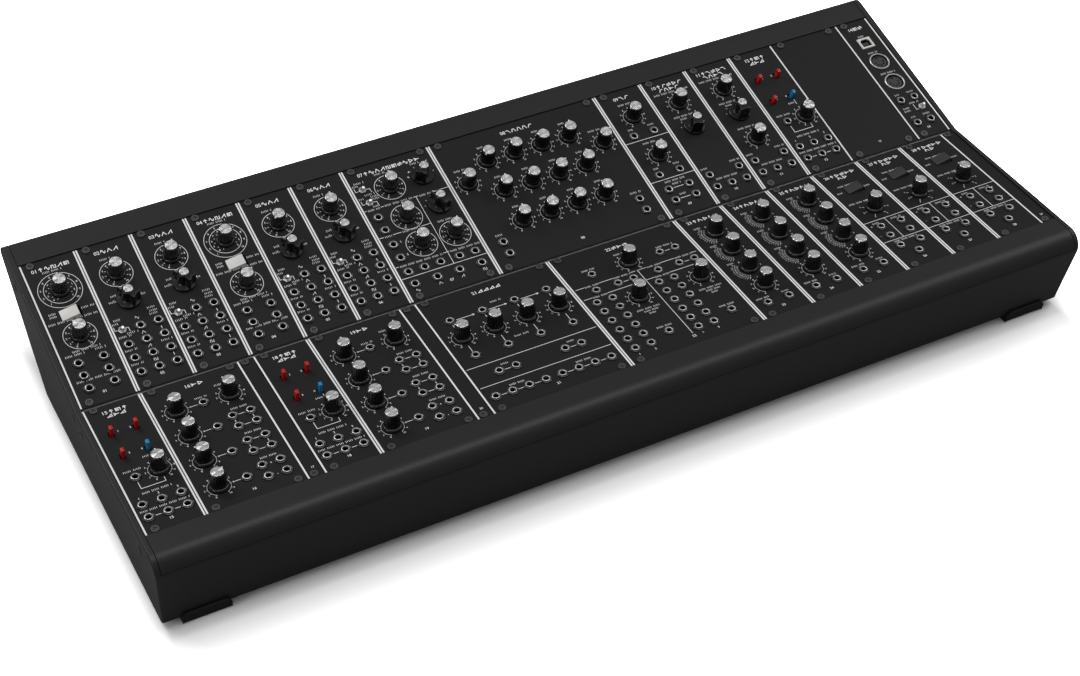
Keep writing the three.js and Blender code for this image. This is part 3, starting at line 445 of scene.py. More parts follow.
class Module:
    """One module: its layout, its width and its own frame, with X along the row, Y up the panel and Z out."""

    def __init__(self, name):
        self.name = name
        self.layout = LAYOUTS[name.rstrip("_0123456789")]
        self.width = self.layout["pitches"] * PITCH
        self.frame = Matrix.Translation((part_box(name)[0].x - PANEL_GAP / 2, 0, 0)) @ MODULES[name]

    def at(self, x, up):
        """The place on the panel's face, in the module's own frame."""
        return Vector((x * self.width, up * PANEL_HEIGHT, 0))

    def frame_at(self, x, up):
        """The frame of a piece seated at that place."""
        return self.frame @ Matrix.Translation(self.at(x, up))

    def controls(self, kind):
        """The controls of that kind, each with its node's name, its frame and its last value."""
        return [(f"{self.name}_{key}", self.frame_at(x, up), extra)
                for key, (what, x, up, extra) in self.layout["controls"].items() if what == kind]


def modules():
    """Every module in turn."""
    return [Module(name) for name in MODULES]


# Mesh building


class Shape:
    """Points and faces gathered for one piece, in the object's frame."""

    def __init__(self):
        self.points = []
        self.faces = []
        self.corners = []

    def ring(self, place, points):
        """Add a ring of points and return their numbers."""
        first = len(self.points)
        self.points += [place @ Vector(point) for point in points]
        return list(range(first, len(self.points)))

    def face(self, numbers, corners=None):
        """Add a face; corners are its places on the unrolled surface."""
        self.faces.append(numbers)
        self.corners.append(corners or [(0, 0)] * len(numbers))

    def skin(self, lower, upper, low=0, high=0):
        """Join two rings of equal length, or a ring and a single point."""
        count = max(len(lower), len(upper))
        for i in range(count):
            j = (i + 1) % count
            left, right = i / count, (i + 1) / count
            if len(lower) == 1:
                self.face([lower[0], upper[j], upper[i]], [(left, low), (right, high), (left, high)])
            elif len(upper) == 1:
                self.face([lower[i], lower[j], upper[0]], [(left, low), (right, low), (left, high)])
            else:
                self.face([lower[i], lower[j], upper[j], upper[i]],
                          [(left, low), (right, low), (right, high), (left, high)])


def lathe(shape, place, profile, sides, closed=False, swell=None):
    """Turn a profile of radius and height about Z. Swell changes the radius with the angle."""
    rings = []
    for radius, height in profile:
        if radius == 0:
            rings.append(shape.ring(place, [(0, 0, height)]))
            continue
        points = []
        for i in range(sides):
            turn = 2 * math.pi * i / sides
            reach = radius + (swell(turn, height) if swell else 0)
            points.append((reach * math.cos(turn), reach * math.sin(turn), height))
        rings.append(shape.ring(place, points))
    steps = list(zip(rings, rings[1:], profile, profile[1:]))
    if closed:
        steps.append((rings[-1], rings[0], profile[-1], profile[0]))
    for lower, upper, (low, _), (high, _) in steps:
        shape.skin(lower, upper, low / MM, high / MM)


def plate(shape, place, loops, low, high, edge=0.0):
    """A flat plate with holes. Each loop is a function of how far its points move into the material."""
    rims = [loop(edge) for loop in loops]
    walls = [loop(0.0) for loop in loops]
    triangles = tessellate_polygon([[Vector((x, y, 0)) for x, y in rim] for rim in rims])
    top, bottom = [], []
    for rim, wall in zip(rims, walls):
        upper = shape.ring(place, [(x, y, high) for x, y in rim])
        lower = shape.ring(place, [(x, y, low) for x, y in wall])
        if edge:
            middle = shape.ring(place, [(x, y, high - edge) for x, y in wall])
            shape.skin(middle, upper)
            shape.skin(lower, middle)
        else:
            shape.skin(lower, upper)
        top += upper
        bottom += lower
    for triangle in triangles:
        shape.face([top[i] for i in triangle])
        shape.face([bottom[i] for i in reversed(triangle)])


def box_loop(x0, x1, y0, y1):
    """A rectangle, drawn in as it moves into the material."""
    return lambda d: [(x0 + d, y0 + d), (x1 - d, y0 + d), (x1 - d, y1 - d), (x0 + d, y1 - d)]


def hole_loop(x0, x1, y0, y1):
    """A rectangular hole, let out as it moves into the material."""
    return lambda d: box_loop(x0 - 2 * d, x1 + 2 * d, y0 - 2 * d, y1 + 2 * d)(d)


def circle_points(x, y, radius, sides):
    """Points round a circle."""
    return [(x + radius * math.cos(2 * math.pi * i / sides), y + radius * math.sin(2 * math.pi * i / sides))
            for i in range(sides)]


def round_hole(x, y, radius, sides=16):
    """A round hole, let out as it moves into the material."""
    return lambda d: circle_points(x, y, radius + d, sides)


def rectangle(wide, tall):
    """A rectangle about the middle, by half its width and half its height."""
    return [(-wide, -tall), (wide, -tall), (wide, tall), (-wide, tall)]


def inset(points, distance):
    """Move a counter-clockwise outline in by a distance, corner by corner."""
    moved = []
    for i, here in enumerate(points):
        here = Vector(here)
        before = (here - Vector(points[i - 1])).normalized()
        after = (Vector(points[(i + 1) % len(points)]) - here).normalized()
        normal = Vector((-before.y - after.y, before.x + after.x))
        share = 2 / max(normal.length_squared, 0.5)
        moved.append(here + normal * share * distance)
    return moved


def slab(shape, place, outline, low, high, edge, steps=2, foot=True):
    """A solid outline between two heights, with its upper and, if wanted, lower edge rounded."""
    rings = []
    heights = [(edge * (1 - math.sin(a)), high - edge * (1 - math.cos(a)))
               for a in (math.pi / 2 * i / steps for i in range(steps + 1))]
    rounds = [(drawn, z) for drawn, z in reversed(heights)]
    below = [(drawn, low + high - z) for drawn, z in heights] if foot else [(0.0, low)]
    for drawn, z in (list(reversed(rounds)) + list(reversed(below)))[::-1]:
        rings.append(shape.ring(place, [(p[0], p[1], z) for p in inset(outline, drawn)]))
    for lower, upper in zip(rings, rings[1:]):
        shape.skin(lower, upper)
    shape.face(list(reversed(rings[0])))
    shape.face(rings[-1])


def rounded(corners, steps):
    """An outline through corners of (a, b, radius), with each radius drawn as an arc."""
    out = []
    for i, (a, b, radius) in enumerate(corners):
        here = Vector((a, b))
        if not radius:
            out.append(here)
            continue
        before = (Vector(corners[i - 1][:2]) - here).normalized()
        after = (Vector(corners[(i + 1) % len(corners)][:2]) - here).normalized()
        half = math.acos(max(-1, min(1, before.dot(after)))) / 2
        centre = here + (before + after).normalized() * radius / math.sin(half)
        start = here + before * radius / math.tan(half) - centre
        end = here + after * radius / math.tan(half) - centre
        sweep = math.atan2(start.x * end.y - start.y * end.x, start.dot(end))
        for k in range(steps + 1):
            turn = sweep * k / steps
            out.append(centre + Vector((start.x * math.cos(turn) - start.y * math.sin(turn),
                                        start.x * math.sin(turn) + start.y * math.cos(turn))))
    return out


def bare(name, points, faces):
    """A plain object from points and faces, linked to the scene."""
    mesh = bpy.data.meshes.new(name)
    mesh.from_pydata(points, [], faces)
    made = bpy.data.objects.new(name, mesh)
    bpy.context.scene.collection.objects.link(made)
    return made


def dress(made, material, slot, body, stands_for, sharp=32):
    """Shade an object smooth up to its sharp edges; give it its finish and its body, and hide the nodes it stands
    for.
    """
    mesh = made.data
    mesh.polygons.foreach_set("use_smooth", [True] * len(mesh.polygons))
    mesh.set_sharp_from_angle(angle=math.radians(sharp))
    mesh.materials.clear()
    mesh.materials.append(material)
    if stands_for:
        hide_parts(*stands_for)
    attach(made, body)


def piece(shape, name, material, slot, body="case", stands_for=(), sharp=32, unrolled=False):
    """Make the gathered shape an object and dress it."""
    made = bare(name, shape.points, shape.faces)
    mesh = made.data
    if unrolled:
        layer = mesh.uv_layers.new(name="unrolled")
        layer.data.foreach_set("uv", [value for corners in shape.corners for corner in corners for value in corner])
    outward = bmesh.new()
    outward.from_mesh(mesh)
    bmesh.ops.recalc_face_normals(outward, faces=outward.faces)
    outward.to_mesh(mesh)
    outward.free()
    dress(made, material, slot, body, stands_for, sharp)


# Materials


def add(tree, kind, inputs=None, **settings):
    """Add one node with its settings; inputs are values or sockets to link."""
    made = tree.nodes.new(kind)
    for name, value in settings.items():
        setattr(made, name, value)
    for name, value in (inputs or {}).items():
        if isinstance(value, bpy.types.NodeSocket):
            tree.links.new(value, made.inputs[name])
        else:
            made.inputs[name].default_value = value
    return made


def surface(name, colour_value, roughness, metallic=0.0, ior=1.5):
    """A material with one shader, returned with its tree and shader."""
    material = bpy.data.materials.new(name)
    material.use_nodes = True
    tree = material.node_tree
    tree.nodes.clear()
    shader = add(tree, "ShaderNodeBsdfPrincipled", {
        "Base Color": colour_value, "Roughness": roughness, "Metallic": metallic, "IOR": ior})
    output = add(tree, "ShaderNodeOutputMaterial")
    tree.links.new(shader.outputs[0], output.inputs[0])
    return material, tree, shader


def grain(tree, shader, size, height, shade=None, rough=None):
    """Grain of a real size: it raises the surface, and may shade the colour and the roughness."""
    place = add(tree, "ShaderNodeTexCoord").outputs["Object"]
    noise = add(tree, "ShaderNodeTexNoise", {"Vector": place, "Scale": 1 / size, "Detail": 3.0}).outputs[0]
    bump = add(tree, "ShaderNodeBump", {"Height": noise, "Strength": 1.0, "Distance": height})
    tree.links.new(bump.outputs[0], shader.inputs["Normal"])
    if shade:
        mix = add(tree, "ShaderNodeMix", {"Factor": noise}, data_type="RGBA")
        base = list(shader.inputs["Base Color"].default_value)[:3]
        for socket, share in zip((6, 7), shade):
            mix.inputs[socket].default_value = [min(1, c * share) for c in base] + [1]
        tree.links.new(mix.outputs[2], shader.inputs["Base Color"])
    if rough:
        spread = add(tree, "ShaderNodeMapRange", {"Value": noise, "To Min": rough[0], "To Max": rough[1]})
        tree.links.new(spread.outputs[0], shader.inputs["Roughness"])


def powder_coated_steel():
    """Sheet steel with a baked textured powder coat: an even grain that breaks up highlights."""
    material, tree, shader = surface("powder_coated_steel", sizes("synth_finish").case, 0.42, ior=1.42)
    grain(tree, shader, 0.9 * MM, 0.07 * MM, shade=(0.74, 1.35), rough=(0.36, 0.5))
    return material


def painted_aluminium():
    """Rolled aluminium with a sprayed matt paint: nearly flat, with a faint fine grain."""
    material, tree, shader = surface("painted_aluminium", sizes("synth_finish").panel, 0.6, ior=1.33)
    grain(tree, shader, 0.8 * MM, 0.02 * MM, shade=(0.85, 1.18), rough=(0.55, 0.66))
    return material


def screen_print_ink():
    """Screen printed ink: dense and slightly uneven where the mesh laid it."""
    material, tree, shader = surface("screen_print_ink", sizes("synth_finish").ink, 0.55)
    grain(tree, shader, 0.5 * MM, 0.008 * MM, shade=(0.9, 1.06))
    return material


PLASTIC_ROUGHNESS = {"black": 0.24, "white": 0.38, "red": 0.3, "blue": 0.3, "grey": 0.5}


def moulded_plastic(kind):
    """Moulded ABS: a soft sheen with the slight waviness of the mould."""
    roughness = PLASTIC_ROUGHNESS[kind]
    material, tree, shader = surface(f"moulded_{kind}", getattr(sizes("synth_finish"), kind), roughness, ior=1.54)
    grain(tree, shader, 2.5 * MM, 0.012 * MM, shade=(0.9, 1.1), rough=(roughness * 0.85, roughness * 1.2))
    return material


def spun_aluminium():
    """Aluminium faced on a lathe: fine turning marks that stretch every highlight into a fan."""
    material, tree, shader = surface("spun_aluminium", sizes("synth_finish").aluminium, 0.26, metallic=1.0)
    shader.inputs["Anisotropic"].default_value = 1.0
    shader.inputs["Anisotropic Rotation"].default_value = 0.25
    tangent = add(tree, "ShaderNodeTangent", direction_type="UV_MAP", uv_map="unrolled")
    tree.links.new(tangent.outputs[0], shader.inputs["Tangent"])
    unrolled = add(tree, "ShaderNodeUVMap", uv_map="unrolled")
    radius = add(tree, "ShaderNodeSeparateXYZ", {"Vector": unrolled.outputs[0]}).outputs["Y"]
    marks = add(tree, "ShaderNodeTexNoise", {"W": radius, "Scale": 6.0, "Detail": 4.0}, noise_dimensions="1D")
    spread = add(tree, "ShaderNodeMapRange", {"Value": marks.outputs[0], "To Min": 0.2, "To Max": 0.32})
    tree.links.new(spread.outputs[0], shader.inputs["Roughness"])
    return material


def bright_nickel():
    """Nickel plate over turned brass or steel: bright, with faint tool marks."""
    material, tree, shader = surface("bright_nickel", sizes("synth_finish").steel, 0.3, metallic=1.0)
    grain(tree, shader, 0.6 * MM, 0.01 * MM, rough=(0.21, 0.45))
    return material


def blackened_steel():
    """Steel screws with a black oxide: dark metal, a little lighter or darker at random across it."""
    material, tree, shader = surface("blackened_steel", linear("#5c5c5e"), 0.34, metallic=0.9)
    grain(tree, shader, 0.7 * MM, 0.03 * MM, shade=(0.7, 1.4), rough=(0.35, 0.55))
    return material


def foot_rubber():
    """Moulded rubber: matt, with a coarse mould grain."""
    material, tree, shader = surface("foot_rubber", sizes("synth_finish").rubber, 0.8)
    grain(tree, shader, 1.1 * MM, 0.12 * MM, shade=(0.7, 1.6), rough=(0.7, 0.9))
    return material


def drawn_aluminium():
    """Extruded rail: fine lines along the bar, left by the die."""
    material, tree, shader = surface("drawn_aluminium", sizes("synth_finish").aluminium, 0.38, metallic=1.0)
    place = add(tree, "ShaderNodeTexCoord").outputs["Object"]
    stretched = add(tree, "ShaderNodeMapping", {"Vector": place, "Scale": (4, 1 / (0.3 * MM), 1 / (0.3 * MM))})
    lines = add(tree, "ShaderNodeTexNoise", {"Vector": stretched.outputs[0], "Scale": 1.0, "Detail": 3.0})
    bump = add(tree, "ShaderNodeBump", {"Height": lines.outputs[0], "Distance": 0.02 * MM})
    tree.links.new(bump.outputs[0], shader.inputs["Normal"])
    return material


def circuit_board(top):
    """Glass fibre board under green solder mask; what stands on it is black moulded plastic."""
    material, tree, shader = surface("circuit_board", sizes("synth_finish").board, 0.35)
    place = add(tree, "ShaderNodeTexCoord").outputs["Object"]
    height = add(tree, "ShaderNodeSeparateXYZ", {"Vector": place}).outputs["Z"]
    above = add(tree, "ShaderNodeMath", {0: height, 1: top}, operation="GREATER_THAN").outputs[0]
    tracks = add(tree, "ShaderNodeTexBrick", {"Vector": place, "Scale": 1 / (30 * MM), "Mortar Size": 0.02})
    for socket, tint in (("Color1", "#1f5a36"), ("Color2", "#205c38"), ("Mortar", "#2f7a4c")):
        tracks.inputs[socket].default_value = linear(tint)
    mix = add(tree, "ShaderNodeMix", {"Factor": above}, data_type="RGBA")
    tree.links.new(tracks.outputs[0], mix.inputs[6])
    mix.inputs[7].default_value = sizes("synth_finish").black
    tree.links.new(mix.outputs[2], shader.inputs["Base Color"])
    return material


def finish_of(make):
    """The material that a function makes and is named for, made on its first use."""
    return bpy.data.materials.get(make.__name__) or make()


def plastic(kind):
    """Moulded plastic in one of the named colours, made on its first use."""
    return bpy.data.materials.get(f"moulded_{kind}") or moulded_plastic(kind)


# Case

# Rounding of an edge that stays sharp
SHARP_EDGE = 0.02 * MM


def meet(p, lean_p, q, lean_q):
    """Where a line through p and a line through q cross, each with its own angle."""
    across = math.sin(lean_q - lean_p)
    t = ((q[0] - p[0]) * math.sin(lean_q) - (q[1] - p[1]) * math.cos(lean_q)) / across
    return p[0] + t * math.cos(lean_p), p[1] + t * math.sin(lean_p)


class CaseOutline:
    """The case seen from the side, as points of Y and Z, and what is worked out from them."""

    STEPS = 14
    BEYOND = 60 * MM

    def __init__(self):
        self.s = sizes("synth_case")
        self.face = flat_high.z
        self.start = flat_low.y
        self.rear_angle = math.pi / 2 - self.s.rear_lean
        floor = -self.s.depth
        rim = self.s.rim
        self.crease = self.meet_panels(rim, (0, rim), 0)
        rear = self.on_panels(PANEL_HEIGHT + self.s.hood, rim)
        self.rear_foot = rear[0] - (rear[1] + self.s.depth) * math.tan(self.s.rear_lean)
        self.outer = rounded([
            (-self.s.front_foot, floor, self.s.front_round), (self.rear_foot, floor, self.s.rear_foot_round),
            (*rear, self.s.rear_round), (*self.crease, 0), (self.front(rim), rim, self.s.nose)], self.STEPS)
        wall = self.s.wall
        under = rim - wall
        low = floor + wall
        self.inner = rounded([
            (self.front_inner(low), low, 0), (self.rear_inner(low), low, 0),
            (*self.meet_panels(under, (self.rear_inner(low), low), self.rear_angle), self.s.rear_round - wall),
            (*self.meet_panels(under, (0, under), 0), 0),
            (self.front_inner(under), under, self.s.nose - wall)], self.STEPS)

    def on_panels(self, up, proud):
        """A place on the plane of the upper panels, raised by proud."""
        point = UPPER @ Vector((0, up, proud))
        return point.y - self.start, point.z - self.face

    def meet_panels(self, proud, through, lean):
        """Where that plane meets a line."""
        return meet(through, lean, self.on_panels(0, proud), TILT)

    def front(self, z):
        """The front wall's outer face at a height."""
        return -self.s.front_foot - (z + self.s.depth) * math.tan(self.s.front_lean)

    def rear(self, z):
        """The rear wall's outer face at a height."""
        return self.rear_foot + (z + self.s.depth) * math.tan(self.s.rear_lean)

    def front_inner(self, z):
        """The front wall's inner face at a height."""
        return self.front(z) + self.s.wall / math.cos(self.s.front_lean)

    def rear_inner(self, z):
        """The rear wall's inner face at a height."""
        return self.rear(z) - self.s.wall / math.cos(self.s.rear_lean)

    def bar(self, name, outline, half, edge=0.0, drafted=False):
        """An outline drawn out along X, with rounded ends, as a bare object."""
        shape = Shape()
        place = Matrix(((0, 0, 1, 0), (1, 0, 0, self.start), (0, 1, 0, self.face), (0, 0, 0, 1)))
        slab(shape, place, outline, -half, half, edge or SHARP_EDGE, 4 if edge else 1)
        if drafted:
            slope = self.s.draft / self.s.depth
            for point in shape.points:
                point.x *= 1 + slope * (point.z - self.face) / abs(point.x)
        return bare(name, shape.points, shape.faces)


def carved(base, operation, others):
    """Cut or join other objects into the base, one after another, and leave one clean mesh."""
    for other in others:
        step = base.modifiers.new("cut", "BOOLEAN")
        step.operation = operation
        step.solver = "EXACT"
        step.object = other
    depsgraph = bpy.context.evaluated_depsgraph_get()
    mesh = bpy.data.meshes.new_from_object(base.evaluated_get(depsgraph))
    base.modifiers.clear()
    base.data = mesh
    for other in others:
        bpy.data.objects.remove(other)
    return base


def dress_carved(made, material, slot, node):
    """Dress a carved object, with its flat faces kept flat beside the rounded edges."""
    made.modifiers.new("flat faces stay flat", "WEIGHTED_NORMAL").keep_sharp = True
    dress(made, material, slot, "case", (node,))


# Half width and half height of the opening for the power inlet
INLET_OPENING = (19.4 * MM, 7.9 * MM)


def build_case():
    """Tray with its cheeks, rounded front rest and rear hood."""
    material = finish_of(powder_coated_steel)
    line = CaseOutline()
    s = line.s
    inner_half = (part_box("blank_panel_3")[1].x + PANEL_GAP / 2) + s.cheek_gap
    low = -s.depth + s.wall
    far_front, far_rear = line.front(s.rim) - line.BEYOND, line.rear(s.rim) + line.BEYOND
    shell = line.bar("case_shell_tray", line.outer, inner_half + s.cheek, s.cheek_round, drafted=True)
    cavity = line.bar("cavity", [
        (line.front_inner(low), low), (line.rear_inner(low), low), (line.rear_inner(s.hood_seam), s.hood_seam),
        (far_rear, s.hood_seam), (far_rear, line.BEYOND), (far_front, line.BEYOND), (far_front, -s.nose_seam),
        (line.front_inner(-s.nose_seam), -s.nose_seam)], inner_half)
    hole = Shape()
    slab(hole, rear_frame(), rectangle(*INLET_OPENING), -3 * MM, MM, SHARP_EDGE, 1)
    inlet_hole = bare("inlet_hole", hole.points, hole.faces)
    dress_carved(carved(shell, "DIFFERENCE", [cavity, inlet_hole]), material, "powder_coat", "case_shell")
    half = inner_half - s.seam
    for name, side in (("front_rest", "front"), ("rear_hood", "rear")):
        skin = carved(line.bar(f"{name}_sheet", line.outer, half, 0.3 * MM), "DIFFERENCE",
                      [line.bar("inside", line.inner, half + line.BEYOND)])
        region, lap = hood_regions(line, side)
        carved(skin, "INTERSECT", [line.bar("region", region, half + line.BEYOND)])
        carved(skin, "UNION", [line.bar("lap", lap, half - 0.5 * MM)])
        dress_carved(skin, material, "powder_coat", name)


def rear_frame():
    """The frame of the power inlet on the rear wall, with Z out of the wall."""
    line = CaseOutline()
    z = line.s.inlet_up - line.s.depth
    lean = line.s.rear_lean
    return Matrix(((-1, 0, 0, line.s.inlet_x), (0, math.sin(lean), math.cos(lean), line.rear(z) + line.start),
                   (0, math.cos(lean), -math.sin(lean), z + line.face), (0, 0, 0, 1)))


def hood_regions(line, side):
    """What part of the skin the front rest or rear hood keeps, and the lap that lies behind its seam."""
    s = line.s
    top = line.BEYOND
    if side == "front":
        seam = s.seam - s.nose_seam
        end = -s.nose_seam - s.lap
        far = line.front(s.rim) - line.BEYOND
        edge = -0.3 * MM
        region = [(far, seam), (edge, seam), (edge, top), (far, top)]
        outer, inner, way = line.front, line.front_inner, 1
    else:
        seam = s.hood_seam + s.seam
        end = s.hood_seam - s.lap
        far = line.rear(s.rim) + line.BEYOND
        start = line.on_panels(PANEL_HEIGHT + 0.3 * MM, 0)
        foot = (start[0] + (start[1] - seam) * math.tan(TILT), seam)
        head = (start[0] - (top - start[1]) * math.tan(TILT), top)
        region = [foot, (far, seam), (far, top), head]
        outer, inner, way = line.rear, line.rear_inner, -1
    gap = 0.3 * MM * way
    thick = s.lap_thickness * way
    lap = [(outer(seam) + way * s.wall / 2, seam), (inner(seam) + gap, seam), (inner(end) + gap, end),
           (inner(end) + gap + thick, end), (inner(seam) + gap + thick, seam + s.lap_thickness),
           (outer(seam) + way * s.wall / 2, seam + s.lap_thickness)]
    return region, lap if way == -1 else list(reversed(lap))


def build_feet():
    """Rubber feet under the corners, each lapping up the wall it stands under."""
    material = finish_of(foot_rubber)
    line = CaseOutline()
    s = line.s
    gap, top, seat, bottom = 0.3 * MM, s.foot_lap - s.depth, -s.depth - 0.3 * MM, -s.depth - s.foot_drop
    for end, wall_face, way, lean, edge in (("front", line.front, -1, s.front_lean, s.front_round),
                                            ("rear", line.rear, 1, s.rear_lean, s.rear_foot_round)):
        def inner(z):
            """The block's inner face at a height."""
            return wall_face(z) + way * gap / math.cos(lean)

        back = inner(seat) - way * s.foot_width
        section = rounded([
            (inner(top), top, 0), (inner(seat), seat, edge + gap), (back, seat, 0), (back, bottom, 0.6 * MM),
            (inner(bottom) + way * s.foot_proud, bottom, s.foot_proud),
            (inner(top) + way * s.foot_proud, top, 0.9 * MM)], 8)
        for side in ("left", "right"):
            node = f"foot_{end}_{side}"
            half = s.foot_length / 2
            low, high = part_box(node)
            middle = (low.x + high.x) / 2
            made = line.bar(f"{node}_block", section if way == -1 else list(reversed(section)), half, 0.5 * MM)
            made.data.transform(Matrix.Translation((middle, 0, 0)))
            front = rounded([(-half, bottom, 0.4 * MM), (half, bottom, 0.4 * MM), (half, top, s.foot_round),
                             (-half, top, s.foot_round)], 10)
            across = Shape()
            slab(across, Matrix(((1, 0, 0, middle), (0, 0, -1, 0), (0, 1, 0, line.face), (0, 0, 0, 1))),
                 front, -line.BEYOND * 6, line.BEYOND * 6, SHARP_EDGE, 1)
            cutter = bare("outline", across.points, across.faces)
            dress_carved(carved(made, "INTERSECT", [cutter]), material, "rubber", node)


# Panels, print and screws


SHAFT_HOLE, TOGGLE_HOLE, SOCKET_LIP = 3.6 * MM, 1.6 * MM, 0.6 * MM


def panel_openings(module):
    """A panel as loops: its outline, then an opening for each jack, control and socket."""
    jack, switch, socket = sizes("synth_jack"), sizes("synth_switch"), sizes("synth_socket")
    holes = {"knob": SHAFT_HOLE, "selector": SHAFT_HOLE, "toggle": TOGGLE_HOLE}
    slots = {"rocker": (switch.rocker_width / 2 + 1.1 * MM, switch.rocker_length / 2 + 0.4 * MM),
             "lever": (switch.lever_width / 2 + 0.7 * MM, switch.lever_depth / 2 + 1.05 * MM)}

    def slot_at(x, up, wide, tall):
        """A rectangular opening."""
        spot = module.at(x, up)
        return hole_loop(spot.x - wide, spot.x + wide, spot.y - tall, spot.y + tall)

    def hole_at(x, up, radius, sides=16):
        """A round opening."""
        spot = module.at(x, up)
        return round_hole(spot.x, spot.y, radius, sides)

    loops = [box_loop(PANEL_GAP / 2, module.width - PANEL_GAP / 2, 0, PANEL_HEIGHT)]
    loops += [hole_at(x, up, jack.ring) for x, up in module.layout["jacks"]]
    for what, x, up, _ in module.layout["controls"].values():
        loops.append(slot_at(x, up, *slots[what]) if what in slots else hole_at(x, up, holes[what]))
    if module.name == "digital_interface":
        loops += [hole_at(x, up, socket.round_ring - SOCKET_LIP, 40) for x, up in ROUND_SOCKETS]
        loops.append(slot_at(*SQUARE_SOCKET, socket.square_width / 2 - SOCKET_LIP,
                             socket.square_height / 2 - SOCKET_LIP))
    return loops


def build_panels():
    """Panels with a real opening for each jack, control and socket, and the circuit boards behind them."""
    material = finish_of(painted_aluminium)
    margin, board_low, board_high = 1.4 * MM, 9.6 * MM, 119 * MM
    for module in modules():
        shape = Shape()
        plate(shape, module.frame, panel_openings(module), -PANEL_THICKNESS, 0, sizes("synth_panel").edge)
        if module.layout["jacks"]:
            far = module.width - margin
            board = [(margin, board_low), (far, board_low), (far, board_high), (margin, board_high)]
            slab(shape, module.frame, board, -10 * MM, -8.6 * MM, 0.1 * MM, 1)
        piece(shape, f"{module.name}_panel", material, "panel", stands_for=(module.name,), sharp=20)


class Print:
    """Ink on one module's panel: bars, arcs, numerals and small signs, each a thin closed slab."""

    SIGNS = {
        "sine": [[(i / 12 - 0.5, 0.45 * math.sin(2 * math.pi * i / 12)) for i in range(13)]],
        "triangle": [[(-0.5, -0.4), (0, 0.45), (0.5, -0.4)]],
        "ramp": [[(-0.5, -0.4), (0.4, 0.45), (0.4, -0.4)]],
        "square": [[(-0.5, -0.4), (-0.5, 0.4), (0, 0.4), (0, -0.4), (0.5, -0.4), (0.5, 0.4)]],
        "pulses": [[(-0.5, -0.4), (-0.5, 0.4), (-0.25, 0.4), (-0.25, -0.4), (0.05, -0.4), (0.05, 0.4), (0.5, 0.4),
                    (0.5, -0.4)]],
        "low": [[(-0.5, 0.35), (0.05, 0.35), (0.45, -0.4)]],
        "high": [[(-0.45, -0.4), (-0.05, 0.35), (0.5, 0.35)]],
        "band": [[(-0.5, -0.4), (-0.2, 0.4), (0.2, 0.4), (0.5, -0.4)]],
        "stages": [[(-0.5, -0.4), (-0.28, 0.45), (-0.08, 0.05), (0.22, 0.05), (0.5, -0.4)]],
        "sum": [[(-0.5, 0.4), (0, 0), (0.5, 0)], [(-0.5, -0.4), (0, 0)], [(-0.5, 0), (0, 0)]],
        "gain": [[(-0.4, 0.45), (0.45, 0), (-0.4, -0.45), (-0.4, 0.45)]],
        "wedge": [[(-0.5, -0.35), (0.5, 0.4), (0.5, -0.35), (-0.5, -0.35)]],
        "swap": [[(-0.5, 0.18), (0.5, 0.18), (0.2, 0.45)], [(0.5, -0.18), (-0.5, -0.18), (-0.2, -0.45)]],
        "lift": [[(0, -0.45), (0, 0.45)], [(-0.32, 0.13), (0, 0.45), (0.32, 0.13)]],
    }

    def __init__(self, module):
        self.module = module
        self.shape = Shape()
        self.s = sizes("synth_panel")

    def slab(self, outline):
        """A flat patch of ink. Each next patch lies a hair higher, so that none is level with one under it."""
        place = self.module.frame
        top = self.s.ink * (1 + 0.04 * (len(self.shape.faces) // 6 % 6))
        lower = self.shape.ring(place, [(x, y, -self.s.ink) for x, y in outline])
        upper = self.shape.ring(place, [(x, y, top) for x, y in outline])
        self.shape.skin(lower, upper)
        self.shape.face(list(reversed(lower)))
        self.shape.face(upper)

    def bar(self, a, b, width=None):
        """A straight bar from a to b, square past its ends by half its width."""
        half = (width or self.s.line) / 2
        along = (b - a).normalized() * half
        side = Vector((-along.y, along.x, 0))
        self.slab([tuple(p)[:2] for p in (a - along - side, b + along - side, b + along + side, a - along + side)])

    def arc(self, centre, radius, start, end, width=None):
        """An arc round a centre, by angles clockwise from the top."""
        half = (width or self.s.line) / 2
        whole = abs(end - start) >= 360
        count = max(3, math.ceil(abs(end - start) / 7.5))
        lines = []
        for reach in (radius - half, radius + half):
            turns = [math.radians(start + (end - start) * i / count) for i in range(count if whole else count + 1)]
            lines.append([(centre.x + reach * math.sin(t), centre.y + reach * math.cos(t)) for t in turns])
        rings = []
        for points, z in ((lines[0], -self.s.ink), (lines[1], -self.s.ink), (lines[1], self.s.ink),
                          (lines[0], self.s.ink)):
            rings.append(self.shape.ring(self.module.frame, [(x, y, z) for x, y in points]))
        for lower, upper in zip(rings, rings[1:] + rings[:1]):
            for i in range(count):
                j = (i + 1) % len(lower)
                self.shape.face([lower[i], lower[j], upper[j], upper[i]])
        if not whole:
            self.shape.face([ring[0] for ring in rings])
            self.shape.face([ring[-1] for ring in reversed(rings)])

    def ray(self, centre, turn, near, far, width=None):
        """A radial bar at an angle clockwise from the top."""
        way = Vector((math.sin(math.radians(turn)), math.cos(math.radians(turn)), 0))
        self.bar(centre + way * near, centre + way * far, width)

    def number(self, text, centre, height):
        """A plain numeral about its own middle."""
        points, faces = numeral(text)
        place = self.module.frame @ Matrix.Translation(centre)
        first = len(self.shape.points)
        self.shape.points += [place @ Vector((x * height, y * height, z * 2 * self.s.ink)) for x, y, z in points]
        for face in faces:
            self.shape.face([first + i for i in face])

    def number_at(self, text, centre, turn, radius, height):
        """A numeral on a dial."""
        way = Vector((math.sin(math.radians(turn)), math.cos(math.radians(turn)), 0))
        self.number(text, centre + way * radius, height)

    def sign(self, kind, centre, size, width):
        """A small line drawing of what the module or the socket does."""
        for stroke in self.SIGNS[kind]:
            points = [centre + Vector((x, y, 0)) * size for x, y in stroke]
            for a, b in zip(points, points[1:]):
                self.bar(a, b, width)

